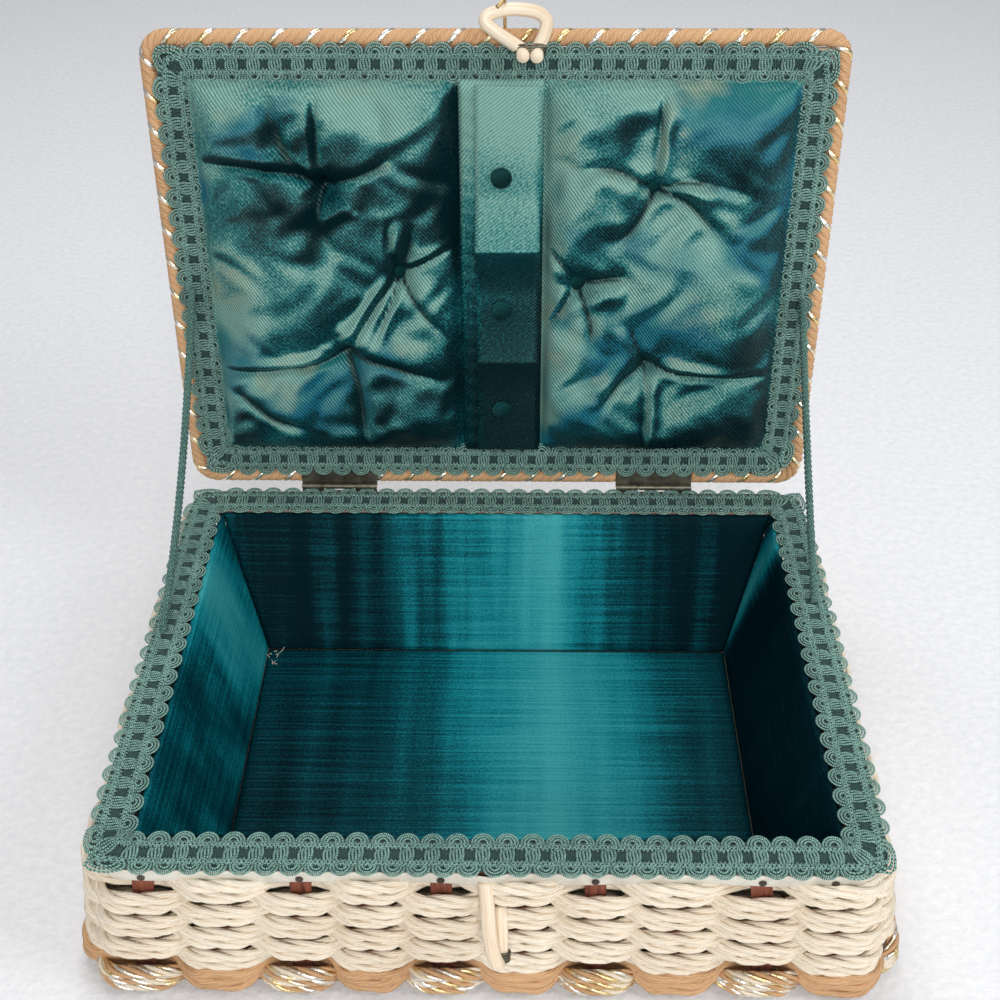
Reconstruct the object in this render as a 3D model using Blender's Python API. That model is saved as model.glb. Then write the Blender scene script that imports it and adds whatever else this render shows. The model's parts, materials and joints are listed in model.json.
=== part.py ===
"""Woven sewing basket with a hinged, padded lid, standing open on its stay cords.

Frame: origin at the centre of the base board's underside, +X to the right seen from the
front, +Y to the rear (the hinge side), +Z up. All lengths are in metres.
"""

import math

import bmesh
import bpy
from mathutils import Matrix, Vector
from mathutils.bvhtree import BVHTree

# Rim and body
RIM_LENGTH = 0.280
RIM_DEPTH = 0.206
GIMP_WIDTH = 0.0155
GIMP_THICKNESS = 0.0016
GIMP_CORNER = 0.005
GAP = 0.0003
SMOOTH_DEG = 40.0
BOARD_THICKNESS = 0.0024
WALL_INSET_X = 0.0025
WALL_INSET_Y = 0.0015
FLARE_X = 0.0110
FLARE_Y = 0.0020
WALL_CORNER = 0.012

# Weave
STAKE_WIDTH = 0.0075
STAKE_THICKNESS = 0.0015
STAKE_MARGIN = 0.0004
TWINE_HEIGHT = 0.0122
TWINE_THICKNESS = 0.0040
ROW_COUNT = 7
ROW_HEIGHT = 0.0065
ROW_GAP = 0.00035
ROW_THICKNESS = 0.0032
CORNER_STEPS = 3
FRONT_STAKE_SHARES = (-0.869, -0.678, -0.470, -0.294, -0.115, 0.086, 0.273, 0.465, 0.690, 0.872)
SIDE_STAKE_COUNT = 7
SIDE_STAKE_REACH_SHARE = 0.80
TWINE_SWAP_SHARE = 0.16

# Rim parts
BAND_HEIGHT = 0.0036
BAND_THICKNESS = 0.0012
FRAME_RISE = 0.0010
FRAME_INSET = 0.0003
NAIL_RADIUS = 0.0014
NAIL_HEIGHT = 0.0006
NAIL_RISE = 0.0019
NAIL_SIDES = 12

# Satin lining
LINING_THICKNESS = 0.0025
LINING_TUCK = 0.0008
FLOOR_THICKNESS = 0.0033
FLOOR_INSET_X = 0.0177
FLOOR_INSET_Y = 0.0253
FLOOR_MARGIN = 0.0004
FLOOR_ROUND = 0.0012
MITRE_GAP = 0.0002

# Lid
LID_LEAN_DEG = 80.0
LID_DEPTH = 0.2030
LID_LENGTH = 0.2820
HINGE_BEHIND_RIM = 0.0021
HINGE_ABOVE_TRIM = 0.0005
LID_FACE_SETBACK = 0.0001
LID_GIMP_THICKNESS = 0.0012
LID_BOARD_THICKNESS = 0.0030
ROPE_RADIUS = 0.0034
ROPE_SETBACK = 0.0043
ROPE_NEAR_AXIS = 0.0042
ROPE_CORNER = 0.007
ROPE_CORNER_STEPS = 4
ROPE_SIDES = 8
LID_WEAVE_THICKNESS = 0.0058
LID_WEAVE_INSET = 0.0011
LID_WEAVE_RIB = 0.0009
LID_WEAVE_RIBS = 14
LID_GIMP_TO_ROPE = 0.0024
LID_GIMP_CORNER = 0.003

# Padded panels and strap
PAD_MARGIN = 0.0003
PAD_EDGE_HEIGHT = 0.0012
PAD_CROWN = 0.0062
PAD_EDGE_WIDTH = 0.0200
PAD_COLUMNS = 18
PAD_ROWS = 26
TUFT_RADIUS = 0.0095
TUFT_DEPTH_SHARE = 0.86
CREASE_WIDTH = 0.0050
CREASE_DEPTH_SHARE = 0.30
TUFT_BUTTON_RADIUS = 0.0030
TUFT_BUTTON_HEIGHT = 0.0022
BUTTON_SIDES = 12
STRAP_CENTRE = 0.0027
STRAP_WIDTH = 0.0333
STRAP_THICKNESS = 0.0034
STRAP_ROUND = 0.0009
STRAP_LOOP_WIDTH = 0.0205
STRAP_LOOP_THICKNESS = 0.0012
STRAP_LOOP_END = 0.0030
STRAP_BUTTON_RADIUS = 0.0044
STRAP_BUTTON_HEIGHT = 0.0030
STRAP_BUTTON_SHARES = (0.721, 0.440, 0.206)
STRAP_RIDGE_SHARE = 0.585
STRAP_RIDGE_RISE = 0.0125
STRAP_LOW_SHARE = 0.321
STRAP_LOW_RISE = 0.0062
STRAP_SEAT_LENGTH = 0.0050
STRAP_BUMP_ROUND_SHARE = 0.45
STRAP_BUMP_STEPS = 4

# Hinges
HINGE_OFFSET_SHARE = 0.521
HINGE_LENGTH = 0.0350
PIN_RADIUS = 0.0007
PIN_CLEARANCE = 0.0002
LEAF_THICKNESS = 0.0005
LEAF_REACH = 0.0125
LEAF_SLACK = 0.0003
KNUCKLE_GAP = 0.0004
KNUCKLE_SLOT_DEG = 40.0
KNUCKLE_STEPS = 14
END_KNUCKLE_SHARE = 0.3

# Cane loop on the lid, its wire eye and binding
CANE_RADIUS = 0.0024
LOOP_PIVOT_ABOVE = 0.0075
LOOP_PIVOT_SETBACK = 0.0016
LOOP_DRAPE_DEG = 21.5
EYE_WIRE_RADIUS = 0.0007
EYE_CLEARANCE = 0.0008
EYE_PLACE = 0.0041
EYE_TAIL = 0.0010
BINDING_WIRE_RADIUS = 0.00045
BINDING_STEPS = 5
BINDING_PLACE = 0.0158
BINDING_ENDS = (0.0085, 0.0173)
BINDING_REACH = 0.0034
CANE_ARC_COUNT = 2
WIRE_ARC_COUNT = 2

# Front bow
BOW_BINDING_STEPS = 6
BOW_BINDING_REACH = 0.0034
BOW_BINDING_HALF = 0.0029

# Stay cords
STAY_RADIUS = 0.0015
LEFT_STAY_SAG = 0.0100
RIGHT_STAY_SAG = 0.0025
LEFT_STAY_LID_INSET = 0.0052
RIGHT_STAY_LID_INSET = 0.0040
LEFT_STAY_RIM_INSET = 0.0050
RIGHT_STAY_RIM_INSET = 0.0055
STAY_STEPS = 14
STAY_STUB = 0.0030

# Levels that follow from the sizes above
TWINE_BOTTOM = BOARD_THICKNESS + GAP
ROWS_BOTTOM = TWINE_BOTTOM + TWINE_HEIGHT + GAP
ROW_PITCH = ROW_HEIGHT + ROW_GAP
BAND_BOTTOM = ROWS_BOTTOM + ROW_COUNT * ROW_PITCH
BAND_TOP = BAND_BOTTOM + BAND_HEIGHT
FRAME_TOP = BAND_TOP + FRAME_RISE
GIMP_BOTTOM = FRAME_TOP + GAP
GIMP_TOP = GIMP_BOTTOM + GIMP_THICKNESS
HINGE_OFFSET = HINGE_OFFSET_SHARE * RIM_LENGTH / 2
HINGE_Y = RIM_DEPTH / 2 + HINGE_BEHIND_RIM
HINGE_Z = GIMP_TOP + HINGE_ABOVE_TRIM
FLOOR_BOTTOM = BOARD_THICKNESS + GAP
FLOOR_TOP = FLOOR_BOTTOM + FLOOR_THICKNESS
ROW_REACH = STAKE_THICKNESS / 2 + GAP + ROW_THICKNESS / 2
TWINE_REACH = STAKE_THICKNESS / 2 + GAP + TWINE_THICKNESS / 2
BAND_OFFSET = STAKE_THICKNESS / 2 + GAP

# Lid levels along the lid's own normal, positive towards the satin side
LID_GIMP_FACE = -LID_FACE_SETBACK
LID_GIMP_BACK = LID_GIMP_FACE - LID_GIMP_THICKNESS
LID_BOARD_FACE = LID_GIMP_BACK - GAP
LID_BOARD_BACK = LID_BOARD_FACE - LID_BOARD_THICKNESS
LID_WEAVE_FACE = LID_BOARD_BACK - GAP
ROPE_CLEAR = ROPE_RADIUS + GAP
ROPE_HALF = LID_LENGTH / 2 - ROPE_RADIUS
ROPE_FAR = LID_DEPTH - ROPE_RADIUS
BOARD_HALF = ROPE_HALF - ROPE_CLEAR
BOARD_NEAR = ROPE_NEAR_AXIS + ROPE_CLEAR
BOARD_FAR = ROPE_FAR - ROPE_CLEAR
TRIM_HALF = ROPE_HALF - LID_GIMP_TO_ROPE
TRIM_NEAR = ROPE_NEAR_AXIS + LID_GIMP_TO_ROPE
TRIM_FAR = ROPE_FAR - LID_GIMP_TO_ROPE
PAD_HALF = TRIM_HALF - GIMP_WIDTH - PAD_MARGIN
PAD_NEAR = TRIM_NEAR + GIMP_WIDTH + PAD_MARGIN
PAD_FAR = TRIM_FAR - GIMP_WIDTH - PAD_MARGIN
STRAP_LEFT = STRAP_CENTRE - STRAP_WIDTH / 2
STRAP_RIGHT = STRAP_CENTRE + STRAP_WIDTH / 2
STRAP_FACE = LID_GIMP_BACK + STRAP_THICKNESS
STRAP_LOOP_BED = STRAP_FACE + GAP
STRAP_BUTTON_PLACES = [share * LID_DEPTH for share in STRAP_BUTTON_SHARES]
STRAP_RIDGE_PLACE = STRAP_RIDGE_SHARE * LID_DEPTH
STRAP_LOW_PLACE = STRAP_LOW_SHARE * LID_DEPTH

# A covered button's profile: shares of its radius and of its height
BUTTON_PROFILE_SHARES = ((0.86, 0.0), (1.0, 0.35), (0.82, 0.75), (0.42, 1.0))

# Tufts of the padded panels and creases from them: shares of half the lid's length, across, and of
# its depth from the hinge axis. The last word of a tuft says whether its button remains.
LEFT_TUFT_SHARES = ((-0.494, 0.704, False), (-0.286, 0.520, True), (-0.457, 0.343, False))
RIGHT_TUFT_SHARES = ((0.465, 0.701, True), (0.246, 0.497, True), (0.464, 0.318, False))
LEFT_CREASE_SHARES = (
    ((-0.494, 0.704), (-0.846, 0.728)),
    ((-0.494, 0.704), (-0.519, 0.903)),
    ((-0.457, 0.343), (-0.839, 0.296)),
    ((-0.286, 0.520), (-0.457, 0.343)),
    ((-0.286, 0.520), (-0.114, 0.590)),
)
RIGHT_CREASE_SHARES = (
    ((0.465, 0.701), (0.475, 0.903)),
    ((0.465, 0.701), (0.695, 0.578)),
    ((0.464, 0.318), (0.839, 0.286)),
    ((0.464, 0.318), (0.468, 0.118)),
    ((0.246, 0.497), (0.142, 0.384)),
)

# Cane of the lid loop: across the lid, and down from the pivot
LOOP_ROUTE = (
    (0.0113, 0.0171),
    (0.0075, 0.0137),
    (0.0021, 0.0096),
    (-0.0033, 0.0051),
    (-0.0020, 0.0020),
    (0.0041, 0.0002),
    (0.0095, 0.0000),
    (0.0168, 0.0012),
    (0.0203, 0.0045),
    (0.0191, 0.0099),
    (0.0174, 0.0144),
    (0.0167, 0.0186),
)

# Cane of the front bow, from under the band, out to its bend and back to the wall: across, out from
# the middle of the front wall's stakes, and down from the band
BOW_ROUTE = (
    (0.0002, 0.0048, 0.00065),
    (0.0003, 0.0055, 0.00345),
    (0.0005, 0.0081, 0.00915),
    (0.001, 0.0117, 0.01515),
    (0.002, 0.0146, 0.02005),
    (0.0031, 0.0166, 0.02325),
    (0.004, 0.0164, 0.02605),
    (0.0047, 0.0144, 0.02745),
    (0.0052, 0.0121, 0.02565),
    (0.0054, 0.0091, 0.02145),
    (0.0054, 0.0074, 0.01745),
    (0.0054, 0.0063, 0.01525),
    (0.0054, 0.005, 0.01445),
)
BOW_BINDING_PLACE = (0.0038, 0.0131, 0.02245)
BOW_BINDING_AXIS = (0.10, -0.60, -0.79)
BOW_BINDING_ACROSS = (0.49, 0.71, -0.49)

# Stay cord ends along the lid's depth and along half the rim's depth
STAY_LID_SHARES = {"left": 0.468, "right": 0.449}
STAY_RIM_SHARES = {"left": 0.100, "right": 0.306}


def material(name, colour, roughness, metallic=0.0):
    """Return a Principled BSDF material."""
    made = bpy.data.materials.new(name)
    made.use_nodes = True
    shader = made.node_tree.nodes["Principled BSDF"]
    shader.inputs["Base Color"].default_value = (*colour, 1.0)
    shader.inputs["Roughness"].default_value = roughness
    shader.inputs["Metallic"].default_value = metallic
    return made


def add_object(name, data, finish, parent=None):
    """Link data as an object that carries its own copy of a finish."""
    made = bpy.data.objects.new(name, data)
    bpy.context.scene.collection.objects.link(made)
    data.materials.append(finish)
    made.parent = parent
    return made


def add_mesh(name, mesh_builder, finish, parent=None, smooth=False):
    """Turn a bmesh into an object with its faces pointing out."""
    bmesh.ops.recalc_face_normals(mesh_builder, faces=mesh_builder.faces)
    data = bpy.data.meshes.new(name)
    mesh_builder.to_mesh(data)
    mesh_builder.free()
    if smooth:
        data.shade_smooth()
        data.set_sharp_from_angle(angle=math.radians(SMOOTH_DEG))
    return add_object(name, data, finish, parent)


def add_empty(name, place, parent=None):
    """Add an empty that marks a joint's axis."""
    made = bpy.data.objects.new(name, None)
    bpy.context.scene.collection.objects.link(made)
    made.location = place
    made.parent = parent
    return made


def box_mesh(low, high):
    """Return a bmesh box between two corners."""
    made = bmesh.new()
    bmesh.ops.create_cube(made, size=1.0)
    for vertex in made.verts:
        for axis in range(3):
            share = vertex.co[axis] + 0.5
            vertex.co[axis] = low[axis] + share * (high[axis] - low[axis])
    return made


def add_box(name, low, high, finish, parent=None, bevel=0.0):
    """Add a box, with its edges rounded where a bevel is given."""
    made = add_mesh(name, box_mesh(low, high), finish, parent)
    if bevel:
        edge = made.modifiers.new("Round", "BEVEL")
        edge.width = bevel
        edge.segments = 2
    return made


def add_cutter(name, low, high, parent=None):
    """Add a box that only cuts."""
    data = bpy.data.meshes.new(name)
    shape = box_mesh(low, high)
    shape.to_mesh(data)
    shape.free()
    made = bpy.data.objects.new(name, data)
    bpy.context.scene.collection.objects.link(made)
    made.parent = parent
    made.hide_render = True
    made.display_type = "WIRE"
    return made


def combine(target, other, operation):
    """Put a Boolean with another object on the target."""
    change = target.modifiers.new(other.name, "BOOLEAN")
    change.operation = operation
    change.object = other
    return change


def arc_points(centre, radius, start_deg, end_deg, steps):
    """Return points along an arc in a plane, both ends included."""
    points = []
    for step in range(steps + 1):
        angle = math.radians(start_deg + (end_deg - start_deg) * step / steps)
        points.append((centre[0] + radius * math.cos(angle), centre[1] + radius * math.sin(angle)))
    return points


def rounded_rectangle(low, high, radius, steps):
    """Return the corners of a rectangle with round corners, anticlockwise."""
    corners = (
        (high[0] - radius, high[1] - radius, 0),
        (low[0] + radius, high[1] - radius, 90),
        (low[0] + radius, low[1] + radius, 180),
        (high[0] - radius, low[1] + radius, 270),
    )
    points = []
    for across, along, start in corners:
        points.extend(arc_points((across, along), radius, start, start + 90, steps))
    return points


def add_frame(name, outer, inner, bottom, top, finish, parent=None):
    """Add a flat frame between two outlines that have the same number of points."""
    made = bmesh.new()
    loops = []
    for outline, height in ((outer, bottom), (outer, top), (inner, top), (inner, bottom)):
        loops.append([made.verts.new((across, along, height)) for across, along in outline])
    bridge(made, loops, True)
    return add_mesh(name, made, finish, parent)


def bridge(shape, loops, closed):
    """Join each loop of vertices to the next with quads, and the last to the first if closed."""
    count = len(loops[0])
    pairs = len(loops) if closed else len(loops) - 1
    for index in range(pairs):
        first = loops[index]
        second = loops[(index + 1) % len(loops)]
        for corner in range(count):
            following = (corner + 1) % count
            shape.faces.new((first[corner], first[following], second[following], second[corner]))


def add_slab(name, outline, bottom, top, finish, parent=None):
    """Add a flat slab with an outline in plan."""
    made = bmesh.new()
    loops = []
    for height in (bottom, top):
        loops.append([made.verts.new((across, along, height)) for across, along in outline])
    bridge(made, loops, False)
    made.faces.new(loops[0])
    made.faces.new(loops[1])
    return add_mesh(name, made, finish, parent)


def add_extrusion(name, outline, place, start, end, finish, parent=None):
    """Add an outline, given in the plane across X, pushed along X from start to end."""
    made = bmesh.new()
    face = made.faces.new([made.verts.new((start, *place(a, b))) for a, b in outline])
    pushed = bmesh.ops.extrude_face_region(made, geom=[face])
    moved = [item for item in pushed["geom"] if isinstance(item, bmesh.types.BMVert)]
    bmesh.ops.translate(made, verts=moved, vec=(end - start, 0, 0))
    return add_mesh(name, made, finish, parent)


def add_turned(name, profile, finish, matrix, parent=None, sides=BUTTON_SIDES):
    """Add a piece turned about its own Z axis from a profile of (radius, height)."""
    made = bmesh.new()
    rings = []
    for radius, height in profile:
        ring = []
        for side in range(sides):
            angle = math.tau * side / sides
            ring.append(made.verts.new((radius * math.cos(angle), radius * math.sin(angle), height)))
        rings.append(ring)
    bridge(made, rings, False)
    made.faces.new(rings[0])
    made.faces.new(rings[-1])
    bmesh.ops.transform(made, matrix=matrix, verts=made.verts)
    return add_mesh(name, made, finish, parent, smooth=True)


def smooth_route(points, steps):
    """Return points along a Catmull-Rom curve through the route's own points."""
    route = [Vector(point) for point in points]
    route.insert(0, route[0] * 2 - route[1])
    route.append(route[-1] * 2 - route[-2])
    made = []
    for index in range(1, len(route) - 2):
        before, start, end, after = route[index - 1 : index + 3]
        for step in range(steps):
            share = step / steps
            made.append(
                0.5
                * (
                    2 * start
                    + (end - before) * share
                    + (2 * before - 5 * start + 4 * end - after) * share**2
                    + (3 * start - before - 3 * end + after) * share**3
                )
            )
    made.append(route[-2])
    return made


def add_tube(name, points, radius, finish, parent=None, closed=False, arc_count=WIRE_ARC_COUNT):
    """Add a round tube along points."""
    data = bpy.data.curves.new(name, "CURVE")
    data.dimensions = "3D"
    data.bevel_depth = radius
    data.bevel_resolution = arc_count
    data.resolution_u = 1
    data.render_resolution_u = 0
    data.use_fill_caps = not closed
    spline = data.splines.new("POLY")
    spline.points.add(len(points) - 1)
    for target, point in zip(spline.points, points):
        target.co = (*point, 1.0)
    spline.use_cyclic_u = closed
    return add_object(name, data, finish, parent)


def wall_half(height):
    """Return the half length and half depth of the stakes' middle surface at a height."""
    share = (FRAME_TOP - height) / FRAME_TOP
    return (
        RIM_LENGTH / 2 - WALL_INSET_X + FLARE_X * share,
        RIM_DEPTH / 2 - WALL_INSET_Y + FLARE_Y * share,
    )


def stake_shares():
    """Return each wall's stake places, as shares of its half length, in anticlockwise order."""
    side = []
    for index in range(SIDE_STAKE_COUNT):
        side.append(SIDE_STAKE_REACH_SHARE * (2 * index / (SIDE_STAKE_COUNT - 1) - 1))
    return (FRONT_STAKE_SHARES, tuple(side), FRONT_STAKE_SHARES, tuple(side))


def wall_point(wall, share, height):
    """Return a point on a wall's middle surface and the wall's outward direction."""
    half_x, half_y = wall_half(height)
    if wall == 0:
        return Vector((share * half_x, -half_y, height)), Vector((0, -1, 0))
    if wall == 1:
        return Vector((half_x, share * half_y, height)), Vector((1, 0, 0))
    if wall == 2:
        return Vector((-share * half_x, half_y, height)), Vector((0, 1, 0))
    return Vector((-half_x, -share * half_y, height)), Vector((-1, 0, 0))


def wall_half_length(wall, height):
    """Return half the length of one wall at a height."""
    half_x, half_y = wall_half(height)
    return half_x if wall % 2 == 0 else half_y


def corner_stations(wall, height):
    """Return points and outward directions round the corner after a wall."""
    half_x, half_y = wall_half(height)
    signs = ((1, -1), (1, 1), (-1, 1), (-1, -1))[wall]
    centre = Vector((signs[0] * (half_x - WALL_CORNER), signs[1] * (half_y - WALL_CORNER), height))
    stations = []
    for step in range(CORNER_STEPS + 1):
        angle = math.radians(-90 + 90 * wall + 90 * step / CORNER_STEPS)
        outward = Vector((math.cos(angle), math.sin(angle), 0))
        stations.append((centre + outward * WALL_CORNER, outward))
    return stations


def weave_stations(height):
    """Return (point, outward, stake number, side of stake) round the wall at a height.

    The stake number is None in a corner. The side is -1 before a stake's middle and 1 after it.
    """
    stations = []
    stake = 0
    for wall, shares in enumerate(stake_shares()):
        for share in shares:
            for side in (-1, 1):
                edge = side * (STAKE_WIDTH / 2 + STAKE_MARGIN) / wall_half_length(wall, height)
                point, outward = wall_point(wall, share + edge, height)
                stations.append((point, outward, stake, side))
            stake += 1
        for point, outward in corner_stations(wall, height):
            stations.append((point, outward, None, 0))
    return stations


def reaches_between(stations, first_sign):
    """Return each station's place between outside (1) and inside (-1) of the wall."""
    places = [0.0]
    for before, after in zip(stations, stations[1:] + stations[:1]):
        places.append(places[-1] + (after[0] - before[0]).length)
    total = places[-1]
    known = []
    for index, station in enumerate(stations):
        if station[2] is not None:
            sign = first_sign if station[2] % 2 == 0 else -first_sign
            known.append((places[index], sign))
    known.append((known[0][0] + total, known[0][1]))
    known.insert(0, (known[-2][0] - total, known[-2][1]))
    reaches = []
    for index in range(len(stations)):
        for start, end in zip(known, known[1:]):
            if start[0] <= places[index] <= end[0]:
                share = (places[index] - start[0]) / max(end[0] - start[0], GAP)
                reaches.append(start[1] + (end[1] - start[1]) * share)
                break
    return reaches


def add_woven_ring(name, sections, finish):
    """Add a closed ring with one four-sided section, leaning as the wall does, at each station."""
    made = bmesh.new()
    loops = []
    for centre, outward, thickness, bottom, top in sections:
        loop = []
        lean = (FLARE_X * outward.x**2 + FLARE_Y * outward.y**2) / FRAME_TOP
        for side, height in ((1, bottom), (1, top), (-1, top), (-1, bottom)):
            corner = centre + outward * (side * thickness / 2 + lean * (centre.z - height))
            loop.append(made.verts.new((corner.x, corner.y, height)))
        loops.append(loop)
    bridge(made, loops, True)
    return add_mesh(name, made, finish)


def add_weave_row(index, finish):
    """Add one row of cord that passes in front of and behind the stakes in turn."""
    bottom = ROWS_BOTTOM + index * ROW_PITCH
    stations = weave_stations(bottom + ROW_HEIGHT / 2)
    first_sign = 1 if (ROW_COUNT - index) % 2 == 0 else -1
    reaches = reaches_between(stations, first_sign)
    sections = []
    for station, reach in zip(stations, reaches):
        centre = station[0] + station[1] * (reach * ROW_REACH)
        sections.append((centre, station[1], ROW_THICKNESS, bottom, bottom + ROW_HEIGHT))
    return add_woven_ring(f"weave_row_{ROW_COUNT - index}", sections, finish)


def add_twine(name, first_sign, lower, finish):
    """Add one strand of the bottom twining.

    It fills the whole height at a stake, and only its own half where the two strands cross.
    """
    stations = weave_stations(TWINE_BOTTOM + TWINE_HEIGHT / 2)
    reaches = reaches_between(stations, first_sign)
    half = (TWINE_HEIGHT - GAP) / 2
    narrow_bottom = TWINE_BOTTOM if lower else TWINE_BOTTOM + TWINE_HEIGHT - half
    top = TWINE_BOTTOM + TWINE_HEIGHT
    sections = []
    for index, (station, reach) in enumerate(zip(stations, reaches)):
        following = stations[(index + 1) % len(stations)]
        next_reach = reaches[(index + 1) % len(stations)]
        centre = station[0] + station[1] * (reach * TWINE_REACH)
        whole = station[2] is not None
        low, high = (TWINE_BOTTOM, top) if whole else (narrow_bottom, narrow_bottom + half)
        sections.append((centre, station[1], TWINE_THICKNESS, low, high))
        shares = []
        if station[2] is not None and station[3] == 1:
            shares.append(TWINE_SWAP_SHARE)
        if following[2] is not None and following[3] == -1:
            shares.append(1 - TWINE_SWAP_SHARE)
        for share in shares:
            between = station[0].lerp(following[0], share)
            outward = station[1].lerp(following[1], share).normalized()
            place = reach + (next_reach - reach) * share
            centre = between + outward * (place * TWINE_REACH)
            sections.append((centre, outward, TWINE_THICKNESS, narrow_bottom, narrow_bottom + half))
    return add_woven_ring(name, sections, finish)


def add_stake_frame(name, wall, finish):
    """Add a wall's stakes, joined by a strip at the foot and one at the top."""
    levels = (GAP, BOARD_THICKNESS, BAND_BOTTOM, BAND_TOP)
    reach = 1 - WALL_CORNER / wall_half_length(wall, BAND_TOP)
    columns = [(-reach, 0)]
    for share in stake_shares()[wall]:
        columns.append((share, -1))
        columns.append((share, 1))
    columns.append((reach, 0))
    made = bmesh.new()
    grid = []
    for height in levels:
        row = []
        for share, side in columns:
            edge = side * STAKE_WIDTH / 2 / wall_half_length(wall, height)
            row.append(made.verts.new(wall_point(wall, share + edge, height)[0]))
        grid.append(row)
    for level in range(len(levels) - 1):
        for column in range(len(columns) - 1):
            if level == 1 and column % 2 == 0:
                continue
            lower, upper = grid[level], grid[level + 1]
            corners = (lower[column], lower[column + 1], upper[column + 1], upper[column])
            made.faces.new(corners)
    frame = add_mesh(name, made, finish)
    body = frame.modifiers.new("Thickness", "SOLIDIFY")
    body.thickness = STAKE_THICKNESS
    body.offset = 0.0
    return frame


def wall_outline(height, offset, steps=CORNER_STEPS):
    """Return the wall's plan at a height, moved outwards."""
    half_x, half_y = wall_half(height)
    reach = Vector((half_x + offset, half_y + offset))
    return rounded_rectangle(-reach, reach, WALL_CORNER + offset, steps)


def add_rim_band(finish):
    """Add the band that covers the stakes' tops."""
    made = bmesh.new()
    loops = []
    outer = BAND_OFFSET + BAND_THICKNESS
    for offset, height in (
        (outer, BAND_BOTTOM),
        (outer, BAND_TOP),
        (BAND_OFFSET, BAND_TOP),
        (BAND_OFFSET, BAND_BOTTOM),
    ):
        outline = wall_outline(height, offset)
        loops.append([made.verts.new((across, along, height)) for across, along in outline])
    bridge(made, loops, True)
    return add_mesh("rim_band", made, finish)


def add_nails(finish):
    """Add the nail heads of the front band, one at every other stake and one at the corner."""
    for number, share in enumerate(FRONT_STAKE_SHARES[::2] + FRONT_STAKE_SHARES[-1:], start=1):
        point, outward = wall_point(0, share, BAND_BOTTOM + NAIL_RISE)
        seat = point + outward * (BAND_OFFSET + BAND_THICKNESS + GAP)
        turn = outward.to_track_quat("Z", "Y").to_matrix().to_4x4()
        profile = (
            (NAIL_RADIUS, 0.0),
            (NAIL_RADIUS, NAIL_HEIGHT / 2),
            (NAIL_RADIUS / 2, NAIL_HEIGHT),
        )
        matrix = Matrix.Translation(seat) @ turn
        add_turned(f"band_nail_{number}", profile, finish, matrix, sides=NAIL_SIDES)


def lining_half(height):
    """Return the half length and half depth of the satin walls' inner face at a height."""
    top_x = RIM_LENGTH / 2 - GIMP_WIDTH + LINING_TUCK
    top_y = RIM_DEPTH / 2 - GIMP_WIDTH + LINING_TUCK
    share = (FRAME_TOP - height) / (FRAME_TOP - FLOOR_TOP)
    return top_x - FLOOR_INSET_X * share, top_y - FLOOR_INSET_Y * share


def add_lining(name, wall, finish):
    """Add one leaning satin panel, mitred at both ends."""
    made = bmesh.new()
    loops = []
    for height in (FLOOR_BOTTOM, FRAME_TOP):
        loop = []
        half_x, half_y = lining_half(height)
        for side, thickness in ((-1, 0.0), (1, 0.0), (1, LINING_THICKNESS), (-1, LINING_THICKNESS)):
            along = half_x if wall % 2 == 0 else half_y
            across = half_y if wall % 2 == 0 else half_x
            reach = side * (along + thickness - MITRE_GAP)
            depth = across + thickness
            spots = ((reach, -depth), (depth, reach), (-reach, depth), (-depth, -reach))
            loop.append(made.verts.new((*spots[wall], height)))
        loops.append(loop)
    bridge(made, loops, False)
    made.faces.new(loops[0])
    made.faces.new(loops[1])
    return add_mesh(name, made, finish)


def add_body(finishes):
    """Add the basket's body without its hinges."""
    half_x, half_y = wall_half(BOARD_THICKNESS)
    clear = STAKE_THICKNESS / 2 + GAP
    edge = Vector((half_x - clear, half_y - clear))
    plan = rounded_rectangle(-edge, edge, WALL_CORNER - clear, CORNER_STEPS)
    add_slab("base_board", plan, 0.0, BOARD_THICKNESS, finishes["board"])
    names = ("front", "right", "rear", "left")
    for wall, name in enumerate(names):
        add_stake_frame(f"{name}_stakes", wall, finishes["stake"])
        add_lining(f"{name}_lining", wall, finishes["satin"])
    floor_x, floor_y = lining_half(FLOOR_BOTTOM)
    floor_x -= FLOOR_MARGIN
    floor_y -= FLOOR_MARGIN
    add_box(
        "floor_lining",
        (-floor_x, -floor_y, FLOOR_BOTTOM),
        (floor_x, floor_y, FLOOR_TOP),
        finishes["satin"],
        bevel=FLOOR_ROUND,
    )
    for index in range(ROW_COUNT):
        add_weave_row(index, finishes["cord"])
    add_twine("gilt_twine", 1, True, finishes["gilt"])
    add_twine("tan_twine", -1, False, finishes["rope"])
    add_rim_band(finishes["band"])
    add_nails(finishes["nail"])


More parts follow.
